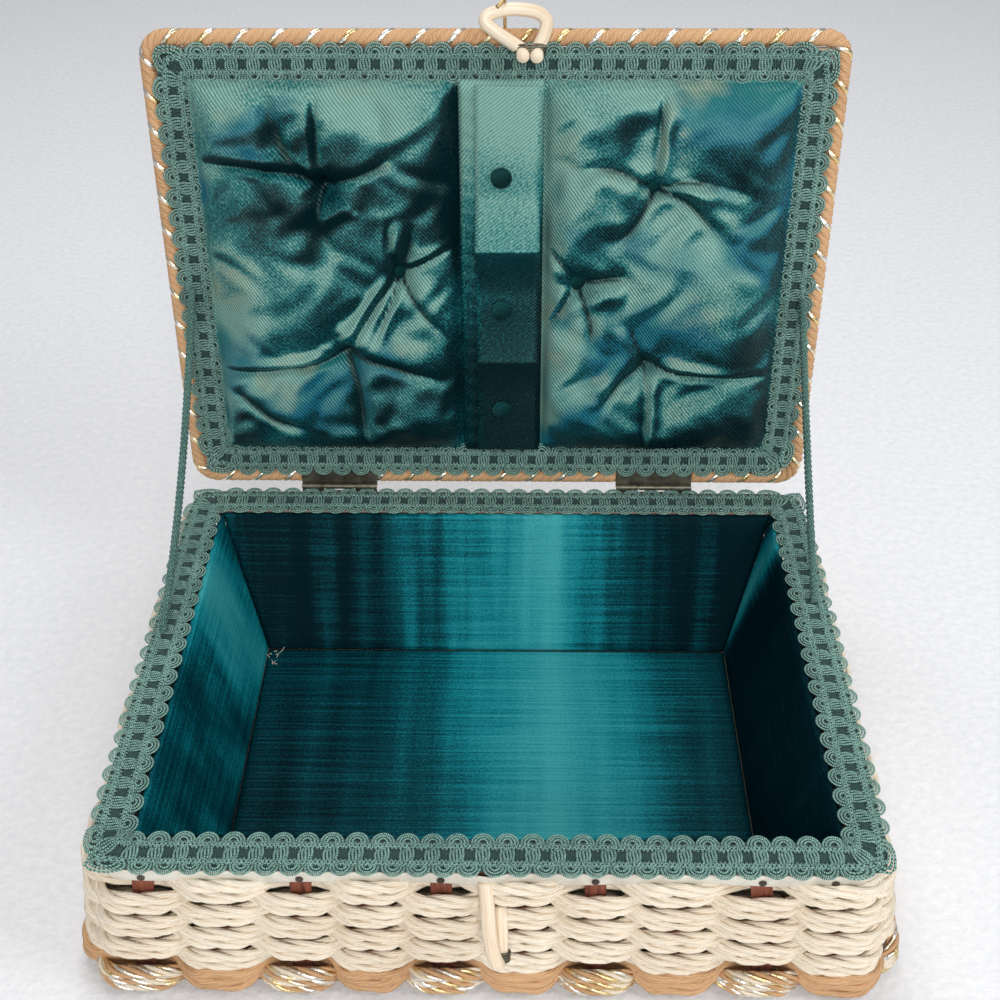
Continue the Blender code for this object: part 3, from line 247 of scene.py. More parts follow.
@dataclass
class CordWork:
    """Gathers cords, swept along their routes, into one mesh of quads with a UV map.

    The map runs along the cord in metres and once round it.
    """

    points: list[Array] = field(default_factory=list)
    quads: list[Array] = field(default_factory=list)
    maps: list[Array] = field(default_factory=list)
    count: int = 0

    def lay(
        self,
        path: Array,
        section: Array,
        up: Iterable[float] | Array = (0.0, 0.0, 1.0),
        closed: bool = False,
        swell: Optional[Array] = None,
    ) -> None:
        """Add one cord.

        Args:
            path: Its centre line, (N, 3).
            section: Its section, (K, 2), with K even.
            up: The direction that the section's second axis leans to, one for all or one each.
            closed: Whether its end joins its start.
            swell: A factor on the section at each point.
        """
        path = np.asarray(path, float)
        if closed:
            tangent = unit(np.roll(path, -1, 0) - np.roll(path, 1, 0))
        else:
            tangent = unit(np.gradient(path, axis=0))
        lean = np.broadcast_to(np.asarray(up, float), path.shape)
        side = unit(np.cross(lean, tangent))
        rise = np.cross(tangent, side)
        factor = np.ones(len(path)) if swell is None else swell
        rings = (
            path[:, None, :]
            + side[:, None, :] * section[None, :, 0, None] * factor[:, None, None]
            + rise[:, None, :] * section[None, :, 1, None] * factor[:, None, None]
        )
        sides = len(section)
        rows = len(path)
        steps = rows if closed else rows - 1
        first = np.arange(steps)[:, None] * sides
        then = (np.arange(steps)[:, None] + 1) % rows * sides
        here = np.arange(sides)[None, :]
        following = (here + 1) % sides
        faces = np.stack([first + here, first + following, then + following, then + here], axis=2)
        length = np.linalg.norm(np.diff(np.vstack([path, path[:1]]), axis=0), axis=1)
        along = np.concatenate([[0.0], np.cumsum(length)])
        start_u = np.broadcast_to(along[:steps, None], (steps, sides))
        end_u = np.broadcast_to(along[1 : steps + 1, None], (steps, sides))
        low_v = np.broadcast_to(np.arange(sides)[None, :] / sides, (steps, sides))
        high_v = low_v + 1 / sides
        uv = np.stack(
            [
                np.stack([start_u, low_v], 2),
                np.stack([start_u, high_v], 2),
                np.stack([end_u, high_v], 2),
                np.stack([end_u, low_v], 2),
            ],
            axis=2,
        )
        self.points.append(rings.reshape(-1, 3))
        self.quads.append(faces.reshape(-1, 4) + self.count)
        self.maps.append(uv.reshape(-1, 2))
        if not closed:
            self._cap(sides, self.count, along[0], True)
            self._cap(sides, self.count + (rows - 1) * sides, along[rows - 1], False)
        self.count += rows * sides

    def _cap(self, sides: int, start: int, along: float, near: bool) -> None:
        """Close one end of a cord with a row of quads.

        Args:
            sides: The ring's number of corners.
            start: The ring's first point.
            along: The end's place along the cord.
            near: Whether it is the cord's start.
        """
        corner = np.arange(sides // 2 - 1)
        faces = np.stack([corner, corner + 1, sides - 2 - corner, sides - 1 - corner], axis=1)
        if near:
            faces = faces[:, ::-1]
        self.quads.append(faces + start)
        self.maps.append(np.full((faces.size, 2), (along, 0.5)))

    def reshape(self, change: Callable[[Array], Array]) -> None:
        """Move every point laid so far by a function of all points."""
        self.points = [change(np.vstack(self.points))]

    def piece(self, name: str) -> bpy.types.Object:
        """Make the mesh object.

        Args:
            name: Its name.

        Returns:
            The new object, linked to the scene.
        """
        points = np.vstack(self.points)
        quads = np.vstack(self.quads)
        uv = np.vstack(self.maps)
        return quad_piece(name, points, quads, uv)


def quad_piece(name: str, points: Array, quads: Array, uv: Array) -> bpy.types.Object:
    """Make a smooth mesh object of quads.

    Args:
        name: Its name.
        points: Corners, (N, 3).
        quads: Faces, (M, 4).
        uv: A map place for each face corner, (4 M, 2).

    Returns:
        The new object, linked to the scene.
    """
    mesh = bpy.data.meshes.new(name)
    mesh.vertices.add(len(points))
    mesh.vertices.foreach_set("co", points.astype(np.float32).ravel())
    mesh.loops.add(quads.size)
    mesh.loops.foreach_set("vertex_index", quads.astype(np.int32).ravel())
    mesh.polygons.add(len(quads))
    mesh.polygons.foreach_set("loop_start", np.arange(0, quads.size, 4, dtype=np.int32))
    mesh.polygons.foreach_set("use_smooth", np.ones(len(quads), bool))
    mesh.update(calc_edges=True)
    layer = mesh.uv_layers.new(name="UVMap")
    layer.data.foreach_set("uv", uv.astype(np.float32).ravel())
    made = bpy.data.objects.new(name, mesh)
    bpy.context.scene.collection.objects.link(made)
    return made


def sheet_piece(
    name: str, grid: Array, map_size: tuple[float, float], thickness: float
) -> bpy.types.Object:
    """Make a closed pad from a grid of top points and a flat back.

    Args:
        name: Its name.
        grid: Top points, (rows, columns, 3), anticlockwise seen from the top.
        map_size: The map's length along columns and along rows, in metres.
        thickness: How far the back lies behind the top's edge, against the grid's normal.

    Returns:
        The new object.
    """
    rows, columns = grid.shape[:2]
    normal = unit(np.cross(grid[0, -1] - grid[0, 0], grid[-1, 0] - grid[0, 0]))
    back = grid - normal * (((grid - grid[0, 0]) @ normal)[..., None] + thickness)
    index = np.arange(rows * columns).reshape(rows, columns)
    low, right = index[:-1, :-1], index[:-1, 1:]
    far, left = index[1:, 1:], index[1:, :-1]
    top = np.stack([low, right, far, left], 2).reshape(-1, 4)
    under = top[:, ::-1] + rows * columns
    rim = np.concatenate([index[0], index[1:, -1], index[-1, -2::-1], index[-2:0:-1, 0]])
    after = np.roll(rim, -1)
    wall = np.stack([rim + rows * columns, after + rows * columns, after, rim], 1)
    u = np.broadcast_to(np.linspace(0, map_size[0], columns)[None, :], (rows, columns)).ravel()
    v = np.broadcast_to(np.linspace(0, map_size[1], rows)[:, None], (rows, columns)).ravel()
    spots = np.tile(np.stack([u, v], 1), (2, 1))
    quads = np.vstack([top, under, wall])
    points = np.vstack([grid.reshape(-1, 3), back.reshape(-1, 3)])
    return quad_piece(name, points, quads, spots[quads.ravel()])


# Finishes


@dataclass
class NodeBench:
    """Builds one material's nodes."""

    name: str
    material: bpy.types.Material = field(init=False)
    shader: bpy.types.ShaderNode = field(init=False)

    def __post_init__(self) -> None:
        """Start the material with its shader."""
        self.material = bpy.data.materials.new(self.name)
        self.material.use_nodes = True
        self.shader = self.material.node_tree.nodes["Principled BSDF"]

    def add(self, kind: str, inputs: Optional[dict] = None, **settings: object) -> bpy.types.ShaderNode:
        """Add a node.

        Args:
            kind: The node's type.
            inputs: A socket or a value for each input, by name or number.
            settings: The node's own settings.

        Returns:
            The new node.
        """
        node = self.material.node_tree.nodes.new(kind)
        for setting, value in settings.items():
            setattr(node, setting, value)
        for key, value in (inputs or {}).items():
            self.feed(node.inputs[key], value)
        return node

    def feed(self, socket: bpy.types.NodeSocket, value: object) -> None:
        """Link a socket to an input, or set the input's value."""
        if isinstance(value, bpy.types.NodeSocket):
            self.material.node_tree.links.new(value, socket)
        else:
            socket.default_value = value

    def plain(self, **values: object) -> None:
        """Set the shader's own sockets, with _ in their names for a space."""
        for key, value in values.items():
            self.feed(self.shader.inputs[key.replace("_", " ")], value)

    def where(self, source: str = "Object") -> bpy.types.NodeSocket:
        """Return the coordinates of a kind."""
        return self.add("ShaderNodeTexCoord").outputs[source]

    def mapped(self, vector: object, scale: tuple, turn: tuple = (0, 0, 0)) -> bpy.types.NodeSocket:
        """Return coordinates stretched and turned."""
        inputs = {"Vector": vector, "Scale": scale, "Rotation": turn}
        return self.add("ShaderNodeMapping", inputs).outputs["Vector"]

    def noise(self, vector: object, scale: float, detail: float = 3.0) -> bpy.types.NodeSocket:
        """Return a soft noise from 0 to 1."""
        inputs = {"Vector": vector, "Scale": scale, "Detail": detail}
        return self.add("ShaderNodeTexNoise", inputs).outputs["Fac"]

    def maths(self, operation: str, *values: object) -> bpy.types.NodeSocket:
        """Return a calculation's result."""
        node = self.add("ShaderNodeMath", operation=operation)
        for number, value in enumerate(values):
            self.feed(node.inputs[number], value)
        return node.outputs[0]

    def ramp(self, factor: object, stops: Iterable[tuple[float, tuple]]) -> bpy.types.NodeSocket:
        """Return a colour by a factor.

        Args:
            factor: The factor's socket.
            stops: Places from 0 to 1 with their colours.

        Returns:
            The colour socket.
        """
        node = self.add("ShaderNodeValToRGB", {"Fac": factor})
        stops = list(stops)
        while len(node.color_ramp.elements) < len(stops):
            node.color_ramp.elements.new(0.5)
        for element, (place, colour) in zip(node.color_ramp.elements, stops):
            element.position = place
            element.color = (*colour, 1.0)
        return node.outputs["Color"]

    def mix(self, factor: object, first: object, second: object) -> bpy.types.NodeSocket:
        """Return a mix of two colours."""
        node = self.add("ShaderNodeMix", data_type="RGBA")
        for socket, value in zip((node.inputs[0], node.inputs[6], node.inputs[7]), (factor, first, second)):
            if isinstance(value, tuple) and len(value) == 3:
                value = (*value, 1.0)
            self.feed(socket, value)
        return node.outputs[2]

    def relief(self, height: object, depth: float, before: object = None) -> bpy.types.NodeSocket:
        """Return a bumped normal, with the bump's depth in metres."""
        inputs = {"Height": height, "Distance": depth, "Strength": 1.0}
        if before is not None:
            inputs["Normal"] = before
        return self.add("ShaderNodeBump", inputs).outputs["Normal"]


@dataclass(frozen=True)
class PaperCordFinish:
    """Twisted paper cord: fine creases along each strand and soft shade between them."""

    name: str
    light: tuple[float, float, float]
    dark: tuple[float, float, float]
    roughness: float = 0.72
    creases: float = 7.0

    def build(self) -> bpy.types.Material:
        """Return the material."""
        bench = NodeBench(self.name)
        parts = bench.add("ShaderNodeSeparateXYZ", {"Vector": bench.where("UV")})
        along, around = parts.outputs[0], parts.outputs[1]
        wobble = bench.noise(bench.where(), 160.0, 2.0)
        turn = bench.maths("ADD", around, bench.maths("MULTIPLY", along, 38.0))
        turn = bench.maths("ADD", turn, bench.maths("MULTIPLY", wobble, 0.35))
        crease = bench.maths("SINE", bench.maths("MULTIPLY", turn, TAU * self.creases))
        crease = bench.maths("MULTIPLY_ADD", crease, 0.5, 0.5)
        fibre = bench.noise(bench.mapped(bench.where("UV"), (260.0, 16.0, 1.0)), 4.0, 4.0)
        stain_and_sheen = bench.noise(bench.where(), 34.0, 4.0)
        shade = bench.maths("ADD", bench.maths("MULTIPLY", crease, 0.22), bench.maths("MULTIPLY", stain_and_sheen, 0.55))
        shade = bench.maths("ADD", shade, bench.maths("MULTIPLY", fibre, 0.35))
        colour = bench.ramp(shade, ((0.22, self.dark), (0.62, self.light)))
        height = bench.maths("ADD", crease, bench.maths("MULTIPLY", fibre, 0.8))
        bench.plain(Base_Color=colour, Roughness=self.roughness, Normal=bench.relief(height, 0.00012))
        bench.plain(Specular_IOR_Level=0.35)
        return bench.material


@dataclass(frozen=True)
class GiltFinish:
    """Crinkled metallic ribbon, gold and silver by turns."""

    name: str = "gilt ribbon"
    gold: tuple[float, float, float] = (0.86, 0.66, 0.33)
    silver: tuple[float, float, float] = (0.90, 0.87, 0.80)

    def build(self) -> bpy.types.Material:
        """Return the material."""
        bench = NodeBench(self.name)
        where = bench.where()
        patch = bench.add("ShaderNodeTexVoronoi", {"Vector": where, "Scale": 420.0})
        tone = bench.noise(where, 130.0, 2.0)
        colour = bench.ramp(tone, ((0.40, self.gold), (0.58, self.silver)))
        rough = bench.maths("MULTIPLY_ADD", patch.outputs["Distance"], 0.35, 0.14)
        height = bench.noise(where, 900.0, 3.0)
        bench.plain(Base_Color=colour, Roughness=rough, Metallic=1.0, Normal=bench.relief(height, 0.00025))
        return bench.material


@dataclass(frozen=True)
class SatinFinish:
    """Teal satin with painted sheen and shade, from near black to pale green, broken by fine twill.

    The painted sheen's place on that scale comes from the cloth's slope against one fixed direction,
    from soft blotches, and from one band across the piece.
    """

    name: str
    # Colours along the painted sheen: dark is painted shade, pale is painted highlight.
    dark: tuple[float, float, float] = (0.001, 0.012, 0.016)
    base: tuple[float, float, float] = (0.002, 0.060, 0.075)
    teal: tuple[float, float, float] = (0.015, 0.230, 0.240)
    blue: tuple[float, float, float] = (0.003, 0.170, 0.270)
    pale: tuple[float, float, float] = (0.270, 0.520, 0.440)
    sea: float = 1.0
    index: float = 1.5
    streak: float = 0.0
    grain: float = 0.55
    valley_shades: bool = False
    # Greyer painted highlight, used in patches.
    worn_and_sheen: tuple[float, float, float] = (0.36, 0.47, 0.35)
    gloss: tuple[float, float, float, float] = (0.60, 1.0, 0.86, 1.0)
    pitch: float = 0.0012
    twill_degrees: float = 50.0
    twill_depth: float = 0.00020
    line_share: float = 0.80
    roughness: float = 0.36
    stretch: float = 0.7
    turn: float = 0.0
    level: float = 0.50
    blotch: float = 2.1
    blotch_scale: tuple[float, float, float] = (17.0, 17.0, 17.0)
    slope: float = 1.3
    # The fixed direction for painted shading by slope: faces turned to it get lighter.
    towards: tuple[float, float, float] = (-0.40, 0.155, 0.880)
    axis: int = 0
    centre: float = 0.0
    span: float = 0.1
    band: float = 0.0

    def painted_sheen(self, bench: NodeBench) -> bpy.types.NodeSocket:
        """Return the painted sheen and shade, from 0 for painted shade to 1 for painted highlight."""
        spot = bench.where()
        # Soft blotches raise and lower the painted sheen.
        cloud = bench.maths("SUBTRACT", bench.noise(bench.mapped(spot, self.blotch_scale), 1.0, 3.5), 0.5)
        field = bench.maths("MULTIPLY_ADD", cloud, self.blotch, self.level)
        # Painted shading by slope: lighter where the normal faces the fixed direction, darker where it faces away.
        if self.slope:
            inputs = {0: bench.where("Normal"), 1: self.towards}
            facing = bench.add("ShaderNodeVectorMath", inputs, operation="DOT_PRODUCT").outputs["Value"]
            facing = bench.maths("MINIMUM", bench.maths("MAXIMUM", facing, -0.22), 0.22)
            field = bench.maths("MULTIPLY_ADD", facing, self.slope, field)
        # One painted sheen band across the piece.
        if self.band:
            place = bench.add("ShaderNodeSeparateXYZ", {"Vector": spot}).outputs[self.axis]
            away = bench.maths("DIVIDE", bench.maths("SUBTRACT", place, self.centre), self.span)
            fall = bench.maths("EXPONENT", bench.maths("MULTIPLY", bench.maths("MULTIPLY", away, away), -1.0))
            field = bench.maths("MULTIPLY_ADD", fall, self.band, field)
        # Fine streaks in the painted sheen, along the weft.
        if self.streak:
            weft_sheen_streak = bench.noise(bench.mapped(bench.where("UV"), (14.0, 900.0, 1.0)), 1.0, 2.0)
            field = bench.maths("MULTIPLY_ADD", bench.maths("SUBTRACT", weft_sheen_streak, 0.5), self.streak, field)
        return field

    def build(self) -> bpy.types.Material:
        """Return the material."""
        bench = NodeBench(self.name)
        cloth = bench.where("UV")
        parts = bench.add("ShaderNodeSeparateXYZ", {"Vector": cloth})
        slope = math.radians(self.twill_degrees)
        across = bench.maths("MULTIPLY", parts.outputs[0], TAU * math.sin(slope) / self.pitch)
        along = bench.maths("MULTIPLY", parts.outputs[1], TAU * math.cos(slope) / self.pitch)
        sway = bench.maths("MULTIPLY", bench.noise(cloth, 60.0, 2.0), 5.0)
        twill = bench.maths("SINE", bench.maths("ADD", bench.maths("ADD", across, along), sway))
        twill = bench.maths("MULTIPLY_ADD", twill, 0.5, 0.5)
        thread = bench.noise(bench.mapped(cloth, (1100.0, 2600.0, 1.0)), 1.0, 3.0)
        line = bench.maths("MULTIPLY_ADD", twill, 0.65, bench.maths("MULTIPLY", thread, 0.35))
        grain = bench.maths("ADD", thread, bench.maths("MULTIPLY", bench.noise(cloth, 900.0, 2.0), 1.2))
        # Fine thread noise added to the painted sheen and shade.
        painted_sheen = bench.maths("MULTIPLY_ADD", bench.maths("SUBTRACT", grain, 1.1), self.grain, self.painted_sheen(bench))
        # The painted sheen picks the colour: dark for painted shade, pale for painted highlight.
        tone = bench.ramp(painted_sheen, ((0.20, self.dark), (0.38, self.base), (0.56, self.teal), (0.80, self.pale)))
        if self.sea:
            # In soft patches the painted sheen runs to blue instead of pale.
            sea = bench.ramp(painted_sheen, ((0.20, self.dark), (0.40, self.base), (0.62, self.blue), (1.0, self.teal)))
            patch = bench.ramp(bench.noise(bench.where(), 19.0, 2.0), ((0.52, (0, 0, 0)), (0.60, (1, 1, 1))))
            tone = bench.mix(patch, tone, sea)
            # In patches where the painted sheen is high, the painted highlight turns greyer.
            grey_sheen_tone = bench.ramp(painted_sheen, ((0.56, self.teal), (0.84, self.worn_and_sheen)))
            stain_and_sheen = bench.ramp(bench.noise(bench.where(), 33.0, 3.0), ((0.56, (0, 0, 0)), (0.70, (1, 1, 1))))
            stain_and_sheen = bench.mix(bench.ramp(painted_sheen, ((0.60, (0, 0, 0)), (0.76, (1, 1, 1)))), (0, 0, 0), stain_and_sheen)
            tone = bench.mix(stain_and_sheen, tone, grey_sheen_tone)
        colour = bench.mix(line, bench.mix(self.line_share, tone, self.dark), tone)
        # Painted shade along the pads' crease valleys.
        if self.valley_shades:
            valley_shade = bench.add("ShaderNodeAttribute", attribute_name="valley_shade").outputs["Fac"]
            colour = bench.mix(bench.ramp(valley_shade, ((0.45, (0, 0, 0)), (0.85, (1, 1, 1)))), colour, self.dark)
        height = bench.maths("ADD", twill, bench.maths("MULTIPLY", thread, 0.7))
        tangent = bench.add("ShaderNodeTangent", direction_type="UV_MAP", uv_map="UVMap").outputs["Tangent"]
        bench.plain(
            Base_Color=colour,
            Roughness=self.roughness,
            IOR=self.index,
            Specular_IOR_Level=bench.maths("MULTIPLY_ADD", painted_sheen, 0.75, 0.10),
            Specular_Tint=self.gloss,
            Anisotropic=self.stretch,
            Anisotropic_Rotation=self.turn,
            Tangent=tangent,
            Normal=bench.relief(height, self.twill_depth),
        )
        return bench.material


@dataclass(frozen=True)
class LiningFinish(SatinFinish):
    """The smoother satin inside the body, with one sheen band on each panel."""

    pitch: float = 0.0006
    twill_degrees: float = 62.0
    twill_depth: float = 0.00005
    line_share: float = 0.35
    roughness: float = 0.42
    turn: float = 0.25
    slope: float = 0.0
    sea: float = 0.0
    index: float = 1.2
    streak: float = 0.45
    grain: float = 0.25
    dark: tuple[float, float, float] = (0.0005, 0.012, 0.018)
    base: tuple[float, float, float] = (0.0010, 0.070, 0.092)
    teal: tuple[float, float, float] = (0.006, 0.260, 0.310)
    pale: tuple[float, float, float] = (0.060, 0.440, 0.460)


@dataclass(frozen=True)
class ThreadFinish:
    """Spun cotton thread with a soft fuzz, and painted shade in the hollows of its twist."""

    name: str
    light: tuple[float, float, float]
    dark: tuple[float, float, float]
    twist: float = 1400.0

    def build(self) -> bpy.types.Material:
        """Return the material."""
        bench = NodeBench(self.name)
        parts = bench.add("ShaderNodeSeparateXYZ", {"Vector": bench.where("UV")})
        turn = bench.maths("MULTIPLY_ADD", parts.outputs[0], self.twist, parts.outputs[1])
        twist = bench.maths("SINE", bench.maths("MULTIPLY", turn, TAU))
        fuzz = bench.noise(bench.where(), 1500.0, 3.0)
        worn_and_sheen = bench.noise(bench.where(), 60.0, 3.0)
        # The twist's hollows get painted shade; fuzz and the broad noise are tone that differs at random.
        shade = bench.maths("MULTIPLY_ADD", twist, 0.22, bench.maths("MULTIPLY", fuzz, 0.95))
        shade = bench.maths("ADD", shade, bench.maths("MULTIPLY", worn_and_sheen, 0.30))
        colour = bench.ramp(shade, ((0.40, self.dark), (0.72, self.light)))
        bench.plain(Base_Color=colour, Roughness=0.85, Sheen_Weight=0.25, Specular_IOR_Level=0.25)
        bench.plain(Sheen_Tint=(0.7, 0.9, 0.85, 1.0), Normal=bench.relief(shade, 0.00018))
        return bench.material


@dataclass(frozen=True)
class GrainFinish:
    """Wood or cane with grain along one axis."""

    name: str
    light: tuple[float, float, float]
    dark: tuple[float, float, float]
    stretch: tuple[float, float, float]
    roughness: float = 0.55
    depth: float = 0.00008
    source: str = "Object"

    def build(self) -> bpy.types.Material:
        """Return the material."""
        bench = NodeBench(self.name)
        grain = bench.noise(bench.mapped(bench.where(self.source), self.stretch), 1.0, 5.0)
        stain_and_sheen = bench.noise(bench.where(), 45.0, 3.0)
        shade = bench.maths("MULTIPLY_ADD", grain, 0.8, bench.maths("MULTIPLY", stain_and_sheen, 0.25))
        colour = bench.ramp(shade, ((0.35, self.dark), (0.68, self.light)))
        bench.plain(Base_Color=colour, Roughness=self.roughness, Normal=bench.relief(grain, self.depth))
        return bench.material


@dataclass(frozen=True)
class PlainFinish:
    """Card, moulded strip, plastic-coated band or painted metal with fine wear."""

    name: str
    colour: tuple[float, float, float]
    worn_and_sheen: tuple[float, float, float]
    roughness: float = 0.6
    metallic: float = 0.0
    speck: float = 240.0
    depth: float = 0.00005

    def build(self) -> bpy.types.Material:
        """Return the material."""
        bench = NodeBench(self.name)
        fine = bench.noise(bench.where(), self.speck, 4.0)
        broad = bench.noise(bench.where(), 38.0, 3.0)
        wear = bench.maths("MULTIPLY_ADD", fine, 0.5, bench.maths("MULTIPLY", broad, 0.5))
        colour = bench.ramp(wear, ((0.38, self.worn_and_sheen), (0.60, self.colour)))
        rough = bench.maths("MULTIPLY_ADD", fine, 0.25, self.roughness - 0.12)
        bench.plain(
            Base_Color=colour, Roughness=rough, Metallic=self.metallic, Normal=bench.relief(fine, self.depth)
        )
        return bench.material


@dataclass
class Finishes:
    """All finishes of the basket, made once."""

    cream: bpy.types.Material = field(init=False)
    kraft: bpy.types.Material = field(init=False)
    gilt: bpy.types.Material = field(init=False)
    satin: bpy.types.Material = field(init=False)
    strap: bpy.types.Material = field(init=False)
    ribbon: bpy.types.Material = field(init=False)
    right_lit_satin: bpy.types.Material = field(init=False)
    floor: bpy.types.Material = field(init=False)
    walls: dict[str, bpy.types.Material] = field(init=False)
    gimp: bpy.types.Material = field(init=False)
    shade: bpy.types.Material = field(init=False)
    stay: bpy.types.Material = field(init=False)
    fray: bpy.types.Material = field(init=False)
    stake: bpy.types.Material = field(init=False)
    cane: bpy.types.Material = field(init=False)
    board: bpy.types.Material = field(init=False)
    band: bpy.types.Material = field(init=False)
    nail: bpy.types.Material = field(init=False)
    brass: bpy.types.Material = field(init=False)
    wire: bpy.types.Material = field(init=False)

    def __post_init__(self) -> None:
        """Build every material."""
        self.cream = PaperCordFinish("cream paper cord", (0.90, 0.81, 0.66), (0.66, 0.50, 0.34)).build()
        self.kraft = PaperCordFinish("kraft paper cord", (0.66, 0.40, 0.21), (0.36, 0.18, 0.08)).build()
        self.gilt = GiltFinish().build()
        # Both pads are one satin: the right pad's copy has more painted sheen (level 0.64 against 0.53), and both get
        # painted shade along their crease valleys.
        self.satin = SatinFinish("left pad satin", level=0.53, valley_shades=True).build()
        # The strap's painted sheen is brightest near the lid's top edge and fades down the strap.
        self.strap = SatinFinish(
            "strap satin", twill_degrees=-50.0, sea=0.0, level=0.16, blotch=0.5, slope=0.6,
            axis=2, centre=0.256, span=0.072, band=0.80, line_share=0.6,
        ).build()
        self.ribbon = SatinFinish("button satin", sea=0.0, level=0.40, blotch=0.2, slope=0.35, line_share=0.9).build()
        self.right_lit_satin = SatinFinish("right pad satin", level=0.64, valley_shades=True).build()
        # The lining panels are copies of one satin, each with its own level of painted sheen and its own painted
        # sheen band; the right wall is mostly painted shade with one narrow painted highlight.
        self.floor = LiningFinish(
            "floor satin", level=0.27, blotch=0.35, blotch_scale=(60, 5, 7), centre=0.027, span=0.050, band=0.44
        ).build()
        wide = LiningFinish(
            "long wall satin", level=0.18, blotch=0.85, blotch_scale=(60, 1, 4), centre=0.012, span=0.046, band=0.51
        ).build()
        self.walls = {
            "front": wide,
            "rear": wide,
            "left": LiningFinish(
                "left wall satin", level=0.40, blotch=0.9, blotch_scale=(1, 34, 12), axis=1, centre=0.055, span=0.03, band=0.22
            ).build(),
            "right": LiningFinish(
                "right wall satin", level=0.12, blotch=0.4, blotch_scale=(1, 60, 6), axis=1, centre=0.070, span=0.010, band=0.6
            ).build(),
        }
        # Gimp and stay threads run down to near black: partly their own dark teal, partly painted shade between
        # threads.
        self.gimp = ThreadFinish("gimp thread", (0.28, 0.48, 0.41), (0.008, 0.055, 0.052)).build()
        # Near-black sheet under the gimp's threads: painted shade.
        self.shade = ThreadFinish("gimp backing", (0.030, 0.070, 0.060), (0.004, 0.022, 0.020)).build()
        self.stay = ThreadFinish("stay cord", (0.13, 0.25, 0.21), (0.006, 0.045, 0.040)).build()
        self.fray = ThreadFinish("frayed thread", (0.80, 0.74, 0.60), (0.45, 0.42, 0.34)).build()
        self.stake = GrainFinish("stake splint", (0.33, 0.105, 0.06), (0.11, 0.03, 0.02), (900, 900, 60)).build()
        self.cane = GrainFinish(
            "peeled cane", (0.95, 0.84, 0.68), (0.70, 0.52, 0.34), (30, 22, 1), 0.42, 0.00006, "UV"
        ).build()
        self.board = PlainFinish("grey card", (0.50, 0.42, 0.32), (0.38, 0.30, 0.22), 0.9).build()
        self.band = PlainFinish("band strip", (0.70, 0.67, 0.58), (0.55, 0.51, 0.43), 0.5).build()
        self.nail = PlainFinish("nail head", (0.10, 0.08, 0.06), (0.03, 0.025, 0.02), 0.5, 0.7).build()
        self.brass = PlainFinish("worn brass", (0.72, 0.52, 0.25), (0.36, 0.23, 0.09), 0.36, 1.0).build()
        self.wire = PlainFinish("dull wire", (0.20, 0.19, 0.14), (0.08, 0.07, 0.05), 0.42, 0.8).build()


# Frames of reference


@dataclass(frozen=True)
class LidAxes:
    """The lid's own axes: across, along from the hinge, and out of its satin side."""

    hinge_y: float = 0.1051
    hinge_z: float = 0.07015
    lean_degrees: float = 80.0

    def to_row(self, points: Array) -> Array:
        """Return points given in the lid's axes as points of the row frame."""
        lean = math.radians(self.lean_degrees)
        cosine, sine = math.cos(lean), math.sin(lean)
        across, along, out = points[..., 0], points[..., 1], points[..., 2]
        return np.stack(
            [
                across,
                self.hinge_y + along * cosine - out * sine,
                self.hinge_z + along * sine + out * cosine,
            ],
            axis=-1,
        )

    @property
    def normal(self) -> Array:
        """The direction out of the satin side."""
        lean = math.radians(self.lean_degrees)
        return np.array([0.0, -math.sin(lean), math.cos(lean)])


@dataclass
class Track:
    """Places at equal steps round the wall at one height."""

    points: Array
    outward: Array
    arc: Array
    length: float


